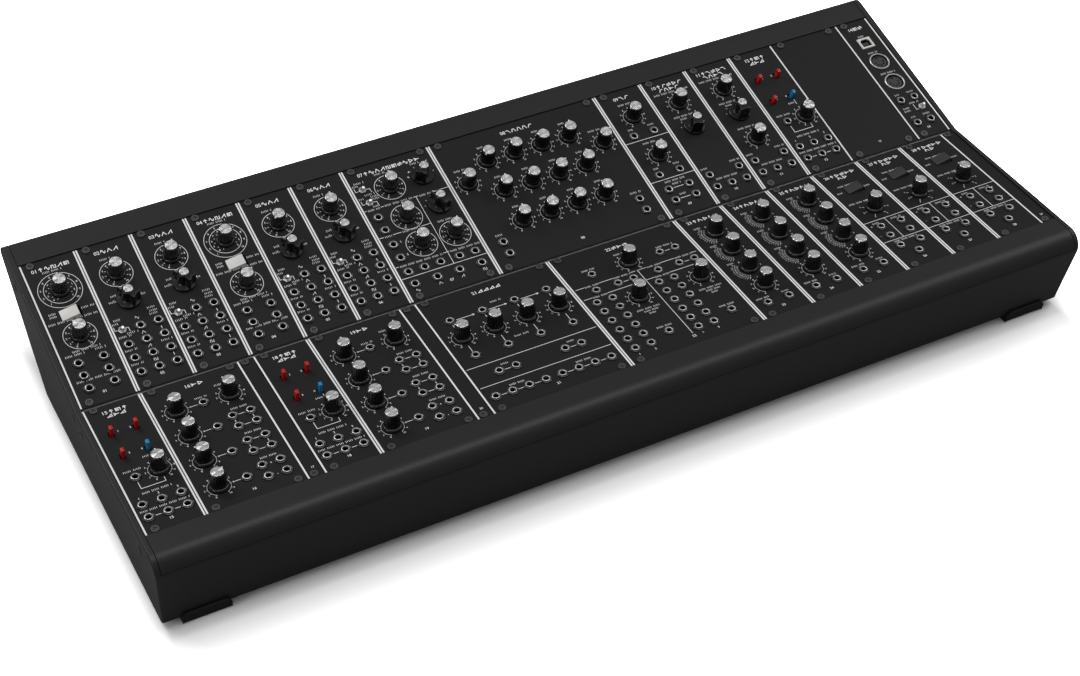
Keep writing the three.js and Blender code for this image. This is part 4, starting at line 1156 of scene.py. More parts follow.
    def scale(self, a, b):
        """A short graduated strip: small marks side by side between two places."""
        step = 1.05 * MM
        count = max(2, int((b - a).length / step))
        tall = (0.75 * MM, 0.55 * MM, 0.65 * MM)
        for i in range(count + 1):
            if i % 6 == 5:
                continue
            middle = a + (b - a) * i / count
            rise = Vector((0, tall[i % 3], 0))
            self.bar(middle - rise, middle + rise, 0.3 * MM)


# Numerals made so far
NUMERALS = {}


def numeral(text):
    """Points and faces of a numeral of unit height, closed, with a thickness of one."""
    if text not in NUMERALS:
        curve = bpy.data.curves.new("numeral", "FONT")
        curve.body = text
        curve.align_x = "CENTER"
        curve.resolution_u = 2
        curve.extrude = 0.5
        curve.offset = 0.01
        holder = bpy.data.objects.new("numeral", curve)
        mesh = bpy.data.meshes.new_from_object(holder)
        solid = bmesh.new()
        solid.from_mesh(mesh)
        bmesh.ops.remove_doubles(solid, verts=solid.verts, dist=1e-5)
        low = min(v.co.y for v in solid.verts)
        tall = max(v.co.y for v in solid.verts) - low
        if text in "+-":
            tall = 0.7
            low = min(v.co.y for v in solid.verts) - 0.2 * tall
        points = [(v.co.x / tall, (v.co.y - low) / tall - 0.5, v.co.z) for v in solid.verts]
        NUMERALS[text] = (points, [[v.index for v in f.verts] for f in solid.faces])
        solid.free()
        bpy.data.objects.remove(holder)
        bpy.data.meshes.remove(mesh)
        bpy.data.curves.remove(curve)
    return NUMERALS[text]


# The eleven marks of a dial, in degrees clockwise from the top
SWEEP = [-150 + 30 * i for i in range(11)]


def print_dial(ink, centre, style):
    """The scale round a knob."""
    low, high = 7.5 * MM, 8.5 * MM
    if style == "double":
        for radius in (15.3, 11.4):
            ink.arc(centre, radius * MM, 0, 360, 0.36 * MM)
        for i, turn in enumerate(SWEEP[:-1]):
            ink.number_at(str(i + 1), centre, turn + 15, 13.4 * MM, 1.6 * MM)
            ink.number_at(str((i + 4) % 10), centre, turn + 15, 9.6 * MM, 1.5 * MM)
            ink.ray(centre, turn, low, high - 0.2 * MM, 0.3 * MM)
        return
    if style == "circle":
        ink.arc(centre, 11.6 * MM, 0, 360, 0.38 * MM)
        for i, turn in enumerate(SWEEP):
            ink.number_at(str(i), centre, turn, 9.8 * MM, 1.6 * MM)
            ink.ray(centre, turn, low - 0.2 * MM, high - 0.3 * MM, 0.35 * MM)
        return
    if style == "sector":
        for i in range(14):
            turn = -154 + 8 * i
            ink.ray(centre, turn, 8.2 * MM, 9.3 * MM, 0.22 * MM)
            ink.number_at(str(i % 10), centre, turn, 10.6 * MM, 1.2 * MM)
            ink.ray(centre, turn + 2, 11.8 * MM, (13.2 if i % 3 else 12.6) * MM, 0.25 * MM)
        for i, turn in enumerate((-20, 60, 90, 112, 135)):
            ink.number_at(str(i + 5), centre, turn, 9.7 * MM, 1.4 * MM)
        return
    if style == "coarse":
        for turn in (-150, -100, -60, 0, 60, 100, 150):
            ink.ray(centre, turn, 7.8 * MM, 9.4 * MM, 0.32 * MM)
            ink.number_at(str(abs(turn) // 50), centre, turn, 10.8 * MM, 1.4 * MM)
        return
    ink.arc(centre, 7.8 * MM, -150, 150, 0.2 * MM)
    for i, turn in enumerate(SWEEP):
        ink.ray(centre, turn, 7.9 * MM, 8.5 * MM, 0.28 * MM)
        ink.number_at(str(i), centre, turn, 9.8 * MM, 1.45 * MM)


def print_module(ink, number):
    """Everything printed on one module."""
    module = ink.module
    layout = module.layout
    if "titles" not in layout:
        ink.number(f"{number:02d}", Vector((module.width / 2, 9.4 * MM, 0)), 1.8 * MM)
        return
    side = 0.35 * MM + ink.s.stripe / 2
    for x in (side, module.width - side):
        ink.bar(Vector((x, 0.6 * MM, 0)), Vector((x, PANEL_HEIGHT - 0.9 * MM, 0)), ink.s.stripe)
    middle = module.width / 2
    for row, signs in enumerate(layout["titles"]):
        up = PANEL_HEIGHT - (8.0 + 4.1 * row) * MM
        first = middle - len(signs) * 2.3 * MM
        if row == 0:
            ink.number(f"{number:02d}", Vector((first, up, 0)), 3.1 * MM)
        else:
            first -= 2.3 * MM
        for i, sign in enumerate(signs, 1):
            ink.sign(sign, Vector((first + i * 4.6 * MM, up, 0)), 3.1 * MM, 0.62 * MM)
    ink.number(f"{number:02d}", Vector((middle, 8.3 * MM, 0)), 2.2 * MM)
    selector_stops = range(-75, 76, 30)
    for what, x, up, style in layout["controls"].values():
        if what == "knob":
            print_dial(ink, module.at(x, up), style)
        if what == "selector":
            for turn in selector_stops:
                ink.ray(module.at(x, up), turn, 9.9 * MM, 10.7 * MM, 0.3 * MM)
    for a, b in layout.get("lines", ()):
        ink.bar(module.at(*a), module.at(*b))
    for left, right, up in layout.get("scales", ()):
        ink.scale(module.at(left, up), module.at(right, up))
    for text, x, up in layout.get("numbers", ()):
        ink.number(text, module.at(x, up), 1.8 * MM)
    for kind, x, up in layout.get("waves", ()):
        ink.sign(kind, module.at(x, up), 2.5 * MM, 0.32 * MM)
    for x, up in layout.get("arrows", ()):
        tail, head = module.at(x, up), module.at(x + 0.13, up)
        ink.bar(tail, head)
        for rise in (1, -1):
            ink.bar(head, head + Vector((-1.3, 0.8 * rise, 0)) * MM)


def build_print():
    """Screen print of every module."""
    material = finish_of(screen_print_ink)
    for number, module in enumerate(modules(), 1):
        ink = Print(module)
        print_module(ink, number)
        piece(ink.shape, f"{module.name}_print", material, "white_plastic", sharp=30)


def cross_loop(arm, half):
    """A cross-shaped hole."""
    def loop(d):
        a, h = arm + d, half + d
        return [(h, h), (h, a), (-h, a), (-h, h), (-a, h), (-a, -h),
                (-h, -h), (-h, -a), (h, -a), (h, -h), (a, -h), (a, h)]
    return loop


def build_screws():
    """Cross-head screws that hold each panel to its rails, and the screws through the cheeks."""
    material = finish_of(blackened_steel)
    s = sizes("synth_panel")
    for module in modules():
        inset_x = {2: 0.7}.get(module.layout["pitches"], 1.47) * PITCH
        columns = [inset_x]
        if module.layout["pitches"] >= 12:
            columns.append(module.width - inset_x)
        shape = Shape()
        for i, x in enumerate(columns):
            for j, y in enumerate((3 * MM, PANEL_HEIGHT - 3 * MM)):
                turn = Matrix.Rotation(math.radians(17 + 31 * i + 53 * j), 4, "Z")
                place = module.frame @ Matrix.Translation((x, y, 0)) @ turn
                plate(shape, place, [lambda d: circle_points(0, 0, s.screw - d, 28), cross_loop(1.5 * MM, 0.38 * MM)],
                      0.35 * MM, s.screw_height, 0.3 * MM)
                lathe(shape, place, [(0, -0.5 * MM), (1.5 * MM, -0.5 * MM), (1.5 * MM, 0), (s.screw, 0),
                                     (s.screw, 0.34 * MM), (0, 0.34 * MM)], 28)
        piece(shape, f"{module.name}_screws", material, "bright_steel", sharp=30)
    case = sizes("synth_case")
    shape = Shape()
    slope = case.draft / case.depth
    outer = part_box("blank_panel_3")[1].x + PANEL_GAP / 2 + case.cheek_gap + case.cheek
    for row in (LOWER, UPPER):
        for up in (6.4 * MM, PANEL_HEIGHT - 4.1 * MM):
            seat = row @ Vector((0, up, -14.5 * MM))
            reach = outer + slope * (seat.z - flat_high.z)
            for way in (-1, 1):
                place = (Matrix.Translation((way * reach, seat.y, seat.z))
                         @ Matrix.Rotation(way * (math.pi / 2 + math.atan(slope)), 4, "Y"))
                lathe(shape, place, [(0, -1 * MM), (case.rail_screw - 0.3 * MM, -1 * MM), (case.rail_screw, 0),
                                     (case.rail_screw, 0.25 * MM), (case.rail_screw - 0.3 * MM, 0.5 * MM),
                                     (1.7 * MM, 0.55 * MM), (1.7 * MM, -0.6 * MM), (0, -0.6 * MM)], 32)
    piece(shape, "rail_screws", material, "bright_steel", sharp=30)


# Jacks


def build_jacks():
    """Round jacks: a black collar with its bore, and a bright ring round the hole."""
    s = sizes("synth_jack")
    dark, bright = plastic("black"), finish_of(bright_nickel)
    ring_foot, depth, sleeve = 0.3 * MM, -8.4 * MM, s.ring - 0.4 * MM
    collar = [(0, depth), (sleeve, depth), (sleeve, 0), (s.collar, 0), (s.collar, 0.4 * MM),
              (s.collar - 0.12 * MM, 0.7 * MM), (s.collar - 0.4 * MM, 0.85 * MM), (s.collar - 0.7 * MM, 0.7 * MM),
              (s.ring + 0.05 * MM, 0.6 * MM), (s.ring + 0.05 * MM, ring_foot),
              (s.bore, ring_foot), (s.bore, depth + 0.6 * MM), (0, depth + 0.6 * MM)]
    top = s.height
    ring = [(s.ring, ring_foot + 0.05 * MM), (s.ring, top - 0.35 * MM), (s.ring - 0.15 * MM, top - 0.1 * MM),
            (s.ring - 0.4 * MM, top), (s.bore + 0.65 * MM, top - 0.08 * MM), (s.bore + 0.4 * MM, top - 0.25 * MM),
            (s.bore + 0.3 * MM, top - 0.6 * MM), (s.bore + 0.3 * MM, ring_foot + 0.05 * MM)]
    for module in modules():
        if not module.layout["jacks"]:
            continue
        collars, rings = Shape(), Shape()
        for x, up in module.layout["jacks"]:
            place = module.frame_at(x, up)
            lathe(collars, place, collar, 28)
            lathe(rings, place, ring, 28, closed=True)
        piece(collars, f"{module.name}_jack_collars", dark, "black_plastic")
        piece(rings, f"{module.name}_jack_rings", bright, "bright_steel")


# Controls


def own(node):
    """The body that a control rides on, and the node it stands for if it has its own."""
    return (node, (node,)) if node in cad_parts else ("case", ())


# Where the pointers stand, one knob after another
KNOB_TURNS = (0, -40, -100, 25, -75, 60, -130, 10)


def knob_shapes(place, pointer):
    """Fluted body, spun cap and white pointer of one knob."""
    s = sizes("synth_knob")
    foot, top = 0.4 * MM, s.height
    flute = 0.3 * MM
    low, high = 2.6 * MM, top - 1.0 * MM

    def groove(turn, height):
        """Depth of the flutes."""
        if height < low or height > high:
            return 0
        return -flute * (0.5 - 0.5 * math.cos(s.flutes * turn)) ** 2

    def body_radius(height):
        """Radius of the taper."""
        share = (height - low) / (high - low)
        return s.body + (s.rim - s.body) * share

    profile = [(0, -7 * MM), (3 * MM, -7 * MM), (3 * MM, foot), (s.skirt - 0.2 * MM, foot),
               (s.skirt, foot + 0.3 * MM),
               (s.skirt - 0.05 * MM, 1.5 * MM), (s.skirt - 0.35 * MM, 2.0 * MM),
               (body_radius(low) + 0.15 * MM, low - 0.1 * MM),
               (body_radius(low), low), (body_radius(low + 1 * MM), low + 1 * MM), (body_radius(high), high),
               (s.rim, high + 0.15 * MM), (s.rim, top - 0.35 * MM), (s.rim - 0.3 * MM, top), (s.cap + 0.1 * MM, top),
               (s.cap + 0.05 * MM, top - 0.5 * MM), (0, top - 0.5 * MM)]
    body, cap, mark = Shape(), Shape(), Shape()
    turned = place @ Matrix.Rotation(math.radians(-pointer), 4, "Z")
    lathe(body, turned, profile, s.flutes * 4, swell=groove)
    lathe(cap, turned, [(0, top - 0.45 * MM), (s.cap, top - 0.45 * MM), (s.cap, top + 0.1 * MM),
                        (s.cap - 0.25 * MM, top + 0.3 * MM), (s.cap * 0.5, top + 0.38 * MM), (0, top + 0.4 * MM)], 48)
    half = 0.5 * MM
    slab(mark, turned, [(-half, s.cap + 0.15 * MM), (half, s.cap + 0.15 * MM), (half, s.rim + 0.05 * MM),
                        (-half, s.rim + 0.05 * MM)], top - 0.9 * MM, top + 0.05 * MM, 0.04 * MM, 1)
    return body, cap, mark


def merged(into, shape):
    """Add one shape to another."""
    first = len(into.points)
    into.points += shape.points
    into.faces += [[first + i for i in face] for face in shape.faces]
    into.corners += shape.corners


def place_controls(kind, parts, make):
    """Make the controls of a kind. Those with a node of their own ride it, the rest are gathered by module.

    Parts are (suffix, material, slot, unrolled) in the order of the shapes that make returns."""
    count = 0
    for module in modules():
        gathered = [Shape() for _ in parts]
        for node, place, extra in module.controls(kind):
            shapes = make(place, extra, count)
            count += 1
            body, stands_for = own(node)
            for i, (suffix, material, slot, unrolled) in enumerate(parts):
                if stands_for:
                    piece(shapes[i], f"{node}_{suffix}", material, slot, body, stands_for if i == 0 else (),
                          unrolled=unrolled)
                else:
                    merged(gathered[i], shapes[i])
        for shape, (suffix, material, slot, unrolled) in zip(gathered, parts):
            if shape.points:
                piece(shape, f"{module.name}_{kind}s_{suffix}", material, slot, unrolled=unrolled)


def cap_parts():
    """Body, cap and pointer mark, as every knob and selector has them."""
    return [("body", plastic("black"), "black_plastic", False),
            ("cap", finish_of(spun_aluminium), "bright_steel", True),
            ("mark", finish_of(screen_print_ink), "white_plastic", False)]


def build_knobs():
    """Knobs, each with a fluted body, a spun cap and a white mark."""
    def make(place, _, count):
        return knob_shapes(place, KNOB_TURNS[count % len(KNOB_TURNS)])
    place_controls("knob", cap_parts(), make)


def build_selectors():
    """Rotary selectors with a round skirt and a waisted grip."""
    s = sizes("synth_selector")

    def make(place, pointer, _):
        body, cap, mark = Shape(), Shape(), Shape()
        turned = place @ Matrix.Rotation(math.radians(-pointer), 4, "Z")
        foot, rise, top = 0.4 * MM, 2.2 * MM, s.height
        grip_top = top - 0.9 * MM
        lathe(body, turned, [(0, -7 * MM), (3 * MM, -7 * MM), (3 * MM, foot), (s.skirt - 0.3 * MM, foot),
                             (s.skirt, foot + 0.4 * MM), (s.skirt - 0.1 * MM, rise - 0.3 * MM),
                             (s.skirt - 0.45 * MM, rise), (s.hub + 0.5 * MM, rise + 0.4 * MM),
                             (s.hub, rise + 0.9 * MM), (s.hub, grip_top - 0.4 * MM), (s.hub - 0.35 * MM, grip_top),
                             (s.cap + 0.15 * MM, grip_top), (s.cap + 0.1 * MM, grip_top - 0.3 * MM),
                             (0, grip_top - 0.3 * MM)], 56)
        broad = rounded([(-s.waist, 0, 0), (s.waist, 0, 0), (s.waist, -3.2 * MM, 5 * MM), (s.end, -s.reach, 0.8 * MM),
                         (0, 1.2 * MM - s.reach, 5 * MM), (-s.end, -s.reach, 0.8 * MM),
                         (-s.waist, -3.2 * MM, 5 * MM)][::-1], 5)
        narrow = rounded([(-s.waist, 0, 0), (s.waist, 0, 0), (s.tip, s.skirt, 0.6 * MM),
                          (-s.tip, s.skirt, 0.6 * MM)], 4)
        for outline in (broad, narrow):
            wing = Shape()
            slab(wing, Matrix(), outline, 1.4 * MM, grip_top - 0.25 * MM, 0.5 * MM, 3, foot=False)
            for point in wing.points:
                if point.z > grip_top / 2:
                    point.z -= s.slope * max(0, point.y - s.waist)
            wing.points = [turned @ point for point in wing.points]
            merged(body, wing)
        lathe(cap, turned, [(0, grip_top - 0.25 * MM), (s.cap, grip_top - 0.25 * MM), (s.cap, top - 0.3 * MM),
                            (s.cap - 0.25 * MM, top - 0.1 * MM), (s.cap / 2, top - 0.02 * MM), (0, top)], 44)
        line = Shape()
        slab(line, Matrix(), [(-0.3 * MM, s.hub + 0.1 * MM), (0.3 * MM, s.hub + 0.1 * MM),
                              (0.3 * MM, s.skirt - 0.8 * MM), (-0.3 * MM, s.skirt - 0.8 * MM)],
             grip_top - 0.6 * MM, grip_top - 0.19 * MM, 0.04 * MM, 1)
        for point in line.points:
            point.z -= s.slope * max(0, point.y - s.waist)
        mark.points = [turned @ point for point in line.points]
        mark.faces, mark.corners = line.faces, line.corners
        return body, cap, mark
    place_controls("selector", cap_parts(), make)


def rocker_shape(place, tilt):
    """A flat-topped rocker, rocked about its pivot under the panel."""
    s = sizes("synth_switch")
    half, depth = s.rocker_width / 2, 2.5 * MM
    section = rounded([(-half, s.rocker_rise, 0.5 * MM), (-half, -1.2 * MM, 0), (-2.3 * MM, -6 * MM, 0),
                       (2.3 * MM, -6 * MM, 0), (half, -1.2 * MM, 0), (half, s.rocker_rise, 0.5 * MM)], 4)
    section = [(x, z + depth) for x, z in section]
    shape = Shape()
    turned = place @ Matrix.Translation((0, 0, -depth)) @ Matrix.Rotation(tilt, 4, "Y")
    lying = Matrix(((1, 0, 0, 0), (0, 0, -1, 0), (0, 1, 0, 0), (0, 0, 0, 1)))
    slab(shape, turned @ lying, section, -s.rocker_length / 2, s.rocker_length / 2, 0.45 * MM, 3)
    return shape


ROCKER_TILT, TOGGLE_TILT, LEVER_TILT = math.radians(-12), math.radians(12), math.radians(8)
LEVER_PIVOT, TOGGLE_PIVOT = -4 * MM, 0.8 * MM


def build_rockers():
    """Flat rockers, white on the drivers and dark on the amplifiers."""
    for module in modules():
        for node, place, tint in module.controls("rocker"):
            body, stands_for = own(node)
            material = plastic("grey" if tint == "black" else tint)
            piece(rocker_shape(place, ROCKER_TILT), f"{node}_face", material, f"{tint}_plastic", body, stands_for)


def build_levers():
    """Paddle levers in their slots."""
    s = sizes("synth_switch")
    soft = 0.2 * MM
    outline = rounded([(x, y, soft) for x, y in rectangle(s.lever_width / 2, s.lever_depth / 2)], 3)
    for module in modules():
        for node, place, tint in module.controls("lever"):
            shape = Shape()
            turned = place @ Matrix.Translation((0, 0, LEVER_PIVOT)) @ Matrix.Rotation(LEVER_TILT, 4, "X")
            slab(shape, turned, outline, -2 * MM, s.lever_height - LEVER_PIVOT, soft, 3)
            body, stands_for = own(node)
            piece(shape, f"{node}_paddle", plastic(tint), f"{tint}_plastic", body, stands_for)


def build_toggles():
    """Small bat toggles with their nut and bush."""
    s = sizes("synth_switch")
    steel = finish_of(bright_nickel)
    nut = [(1.7 * MM, -0.5 * MM), (s.nut - 0.1 * MM, -0.5 * MM), (s.nut, 0.2 * MM), (s.nut, 1.0 * MM),
           (s.nut - 0.3 * MM, 1.25 * MM), (1.7 * MM, 1.25 * MM)]
    bush = [(1.3 * MM, 0.4 * MM), (2.3 * MM, 0.4 * MM), (2.3 * MM, 1.7 * MM), (2.05 * MM, 2 * MM), (1.6 * MM, 2 * MM),
            (1.3 * MM, 1.6 * MM)]
    lever = [(0, -1.6 * MM), (0.75 * MM, -1.6 * MM), (0.75 * MM, 0), (s.bat, 4.1 * MM), (s.bat * 0.8, 4.5 * MM),
             (0, 4.6 * MM)]
    for module in modules():
        fixed = Shape()
        for node, place, _ in module.controls("toggle"):
            lathe(fixed, place, nut, 6, closed=True)
            lathe(fixed, place, bush, 24, closed=True)
            bat = Shape()
            turned = place @ Matrix.Translation((0, 0, TOGGLE_PIVOT)) @ Matrix.Rotation(TOGGLE_TILT, 4, "X")
            lathe(bat, turned, lever, 20)
            body, stands_for = own(node)
            piece(bat, f"{node}_bat", steel, "bright_steel", body, stands_for)
        if fixed.points:
            piece(fixed, f"{module.name}_toggle_nuts", steel, "bright_steel")


# Sockets, inner parts and stage


def build_digital_sockets():
    """The square socket and the two round sockets of the digital interface."""
    s = sizes("synth_socket")
    module = Module("digital_interface")
    steel, white, insert = finish_of(bright_nickel), plastic("white"), plastic("grey")
    rings, inserts, frame_shape, black = Shape(), Shape(), Shape(), Shape()
    for x, up in ROUND_SOCKETS:
        place = module.frame_at(x, up)
        ring, bore, core = s.round_ring, s.round_ring - 1.2 * MM, s.round_core
        lathe(rings, place, [(bore, -5 * MM), (ring - 0.7 * MM, -5 * MM), (ring - 0.7 * MM, 0), (ring, 0),
                             (ring, 0.7 * MM), (ring - 0.3 * MM, 1 * MM), (bore + 0.2 * MM, 1 * MM),
                             (bore, 0.8 * MM)],
              56, closed=True)
        holes = [round_hole(3.6 * MM * math.sin(math.radians(t)), -3.6 * MM * math.cos(math.radians(t)), 0.75 * MM)
                 for t in (-90, -45, 0, 45, 90)]
        holes.append(hole_loop(-1.5 * MM, 1.5 * MM, core - 1.9 * MM, core - 0.9 * MM))
        plate(inserts, place, [lambda d: circle_points(0, 0, core - d, 48)] + holes, -4.5 * MM, -0.2 * MM, 0.1 * MM)
        lathe(black, place, [(0, -5 * MM), (bore - 0.05 * MM, -5 * MM), (bore - 0.05 * MM, -4.6 * MM),
                             (0, -4.6 * MM)], 40)
    place = module.frame_at(*SQUARE_SOCKET)
    wide, tall = s.square_width / 2, s.square_height / 2
    mouth_wide, mouth_tall, cut = 4.25 * MM, 3.7 * MM, 1.8 * MM

    def mouth(d):
        """The socket's mouth with its two cut corners."""
        w, h, c = mouth_wide + d, mouth_tall + d, cut
        return [(-w, -h), (w, -h), (w, h - c), (w - c, h), (c - w, h), (-w, h - c)]

    plate(frame_shape, place, [box_loop(-wide, wide, -tall, tall), mouth], 0.02 * MM, 1.2 * MM, 0.2 * MM)
    plate(black, place, [lambda d: inset(mouth(0.6 * MM), 0), mouth], -8 * MM, 0, 0)
    slab(black, place, mouth(0.6 * MM), -8.6 * MM, -8.05 * MM, 0.1 * MM, 1)
    slab(inserts, place, rectangle(2.8 * MM, 1.6 * MM), -8 * MM, -0.3 * MM, 0.3 * MM)
    piece(rings, "round_socket_rings", steel, "bright_steel")
    piece(inserts, "socket_inserts", insert, "black_plastic")
    piece(frame_shape, "square_socket_frame", white, "white_plastic")
    piece(black, "socket_cups", plastic("black"), "black_plastic")


def build_inner_parts():
    """Rails and power board: the frame's own solids with their finish."""
    rail = finish_of(drawn_aluminium)
    board = circuit_board(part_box("power_board")[0].z + 1.65 * MM)
    for node, material in (("front_rail", rail), ("middle_rail", rail), ("rear_rail", rail), ("power_board", board)):
        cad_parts[node].data.materials.clear()
        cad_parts[node].data.materials.append(material)


def build_rear_inlet():
    """Power inlet and its switch on the rear wall."""
    place = rear_frame()
    black = plastic("black")
    plate_low, plate_top = 0.3 * MM, 2.3 * MM
    wide, tall, half, end = 23 * MM, 10 * MM, 7.6 * MM, 4.9 * MM
    jack_x, switch_x, bore, barrel = -11 * MM, 9 * MM, 3.2 * MM, 5.4 * MM
    plug, metal = Shape(), Shape()
    corners = rounded([(x, y, 2 * MM) for x, y in rectangle(wide, tall)], 6)
    opening = hole_loop(switch_x - half, switch_x + half, -end, end)
    plate(plug, place, [lambda d: inset(corners, d), round_hole(jack_x, 0, barrel, 36), opening],
          plate_low, plate_top, 0.3 * MM)
    body = rectangle(19 * MM, 7.5 * MM)
    plate(plug, place, [lambda d: inset(body, d), round_hole(jack_x, 0, bore, 36), opening], -12 * MM, plate_low, 0)
    slab(plug, place, body, -14 * MM, -12.05 * MM, 0.2 * MM, 1)
    seat = place @ Matrix.Translation((jack_x, 0, 0))
    lathe(plug, seat, [(bore, plate_low + 0.05 * MM), (barrel - 0.05 * MM, plate_low + 0.05 * MM),
                       (barrel - 0.05 * MM, 4 * MM), (barrel - 0.4 * MM, 4.3 * MM), (bore + 0.4 * MM, 4.3 * MM),
                       (bore, 4 * MM)], 40, closed=True)
    lathe(metal, seat, [(0, -12 * MM), (1 * MM, -12 * MM), (1 * MM, 1.9 * MM), (0.7 * MM, 2.2 * MM), (0, 2.3 * MM)],
          20)
    piece(plug, "power_inlet_plate", black, "black_plastic", stands_for=("power_inlet",))
    piece(metal, "power_inlet_pin", finish_of(bright_nickel), "bright_steel")
    switch = rocker_shape(place @ Matrix.Translation((switch_x, 0, plate_top)), math.radians(12))
    piece(switch, "power_switch_face", black, "black_plastic", "power_switch", ("power_switch",))


def area_lamp(name, place, target, size, power):
    """A rectangular lamp that faces a point."""
    light = bpy.data.lights.new(name, "AREA")
    light.shape = "RECTANGLE"
    light.size, light.size_y = size
    light.energy = power
    lamp = bpy.data.objects.new(name, light)
    lamp.location = place
    lamp.rotation_euler = (Vector(target) - Vector(place)).to_track_quat("-Z", "Y").to_euler()
    bpy.context.scene.collection.objects.link(lamp)


def floor_paper(look):
    """Matt paper. The object sees its grey, and the camera sees it whiten away from the case, shadow and all. Next to
    the case the camera's colour stays low: a painted shade round the case, laid over the real shadow.
    """
    material = bpy.data.materials.new("floor_paper")
    material.use_nodes = True
    tree = material.node_tree
    tree.nodes.clear()
    seen = add(tree, "ShaderNodeLightPath")
    place = add(tree, "ShaderNodeTexCoord").outputs["Object"]
    # Distance out from the case's footprint, with X counted four times over
    for operation, values in (("ABSOLUTE", {}), ("SUBTRACT", {1: (0.355, 0.15, 0)}), ("MAXIMUM", {1: (0, 0, 0)}),
                              ("MULTIPLY", {1: (4, 1, 0)})):
        place = add(tree, "ShaderNodeVectorMath", {0: place, **values}, operation=operation).outputs["Vector"]
    away = add(tree, "ShaderNodeVectorMath", {0: place}, operation="LENGTH").outputs["Value"]
    # Painted shade: the camera sees the floor darker close to the case, a narrower band at the sides than in front
    # and behind
    gain = add(tree, "ShaderNodeMapRange", {
        "Value": away, "From Min": 0.0, "From Max": 0.11, "To Min": look.near, "To Max": look.far})
    tint = add(tree, "ShaderNodeMix", {"Factor": seen.outputs["Is Camera Ray"]}, data_type="RGBA")
    tint.inputs[6].default_value = look.floor
    tree.links.new(gain.outputs[0], tint.inputs[7])
    paper = add(tree, "ShaderNodeBsdfDiffuse", {"Color": tint.outputs[2]})
    add(tree, "ShaderNodeOutputMaterial", {"Surface": paper.outputs[0]})
    return material


def studio_world(look):
    """Even light from all round, which the camera sees as white."""
    world = bpy.data.worlds.new("studio")
    world.use_nodes = True
    tree = world.node_tree
    tree.nodes.clear()
    seen = add(tree, "ShaderNodeLightPath")
    either = add(tree, "ShaderNodeMath", {0: seen.outputs["Is Camera Ray"], 1: seen.outputs["Is Transmission Ray"]},
                 operation="MAXIMUM")
    even, white = (add(tree, "ShaderNodeBackground", {"Color": linear("#ffffff"), "Strength": strength})
                   for strength in (look.fill, 1.0))
    mix = add(tree, "ShaderNodeMixShader", {0: either.outputs[0], 1: even.outputs[0], 2: white.outputs[0]})
    add(tree, "ShaderNodeOutputWorld", {"Surface": mix.outputs[0]})
    return world


# The camera as fitted to the photograph: its place in metres, then its angles in degrees
CAMERA_PLACE = (-0.55738, -1.04546, 1.01545)
CAMERA_AZIMUTH, CAMERA_DOWN, CAMERA_ROLL = 27.56, 39.785, 0.134


def photo_camera():
    """The camera at the photograph's angle."""
    camera = bpy.data.cameras.new("camera")
    camera.lens = 69.38
    camera.sensor_width = 36
    camera.shift_x = 0.0006
    camera.shift_y = -0.0292
    camera.clip_end = 50
    holder = bpy.data.objects.new("camera", camera)
    azimuth, down, roll = (math.radians(degrees) for degrees in (CAMERA_AZIMUTH, CAMERA_DOWN, CAMERA_ROLL))
    ahead = Vector((math.sin(azimuth) * math.cos(down), math.cos(azimuth) * math.cos(down), -math.sin(down)))
    turn = ahead.to_track_quat("-Z", "Y").to_matrix().to_4x4() @ Matrix.Rotation(roll, 4, "Z")
    holder.matrix_world = Matrix.Translation(CAMERA_PLACE) @ turn
    bpy.context.scene.collection.objects.link(holder)
    return holder


def build_stage():
    """Pale floor, soft lamps, even light and the camera at the photograph's angle."""
    look = sizes("synth_stage")
    scene = bpy.context.scene
    scene.view_settings.view_transform = "Standard"
    reach = 12.0
    floor = bare("floor", [(x, y, 0) for x, y in rectangle(reach, reach)], [(0, 1, 2, 3)])
    floor.data.materials.append(floor_paper(look))
    scene.world = studio_world(look)
    aim = (0, 0, 0.05)
    for name, place, size, power in (("front", (0, -0.35, 2.1), (2.4, 0.5), look.front),
                                     ("rear", (-1.0, 1.2, 1.7), (1.2, 1), look.rear),
                                     ("right", (1.8, -0.1, 1.5), (1.2, 1), look.right),
                                     ("left", (-1.8, -0.5, 0.9), (0.6, 0.6), look.left)):
        area_lamp(name, place, aim, size, power)
    scene.camera = photo_camera()


# Operators and panel


class SYNTH_OT_stage(bpy.types.Operator):
    """Pale floor, soft lamps, even light and the camera at the photograph's angle."""
    bl_idname = "synth.stage"
    bl_label = "Stage and camera"

    def execute(self, context):
        build_stage()
        return {"FINISHED"}


class SYNTH_OT_case(bpy.types.Operator):
    """Tray with its cheeks, rounded front rest and rear hood."""
    bl_idname = "synth.case"
    bl_label = "Case"

    def execute(self, context):
        build_case()
        return {"FINISHED"}


class SYNTH_OT_feet(bpy.types.Operator):
    """Rubber feet under the corners, each lapping up the wall it stands under."""
    bl_idname = "synth.feet"
    bl_label = "Feet"

    def execute(self, context):
        build_feet()
        return {"FINISHED"}


class SYNTH_OT_panels(bpy.types.Operator):
    """Panels with a real opening for each jack, control and socket, and the circuit boards behind them."""
    bl_idname = "synth.panels"
    bl_label = "Panels"

    def execute(self, context):
        build_panels()
        return {"FINISHED"}


class SYNTH_OT_print(bpy.types.Operator):
    """Screen print of every module."""
    bl_idname = "synth.print"
    bl_label = "Screen print"

    def execute(self, context):
        build_print()
        return {"FINISHED"}


class SYNTH_OT_screws(bpy.types.Operator):
    """Cross-head screws that hold each panel to its rails, and the screws through the cheeks."""
    bl_idname = "synth.screws"
    bl_label = "Screws"

    def execute(self, context):
        build_screws()
        return {"FINISHED"}


class SYNTH_OT_jacks(bpy.types.Operator):
    """Round jacks: a black collar with its bore, and a bright ring round the hole."""
    bl_idname = "synth.jacks"
    bl_label = "Jacks"

    def execute(self, context):
        build_jacks()
        return {"FINISHED"}


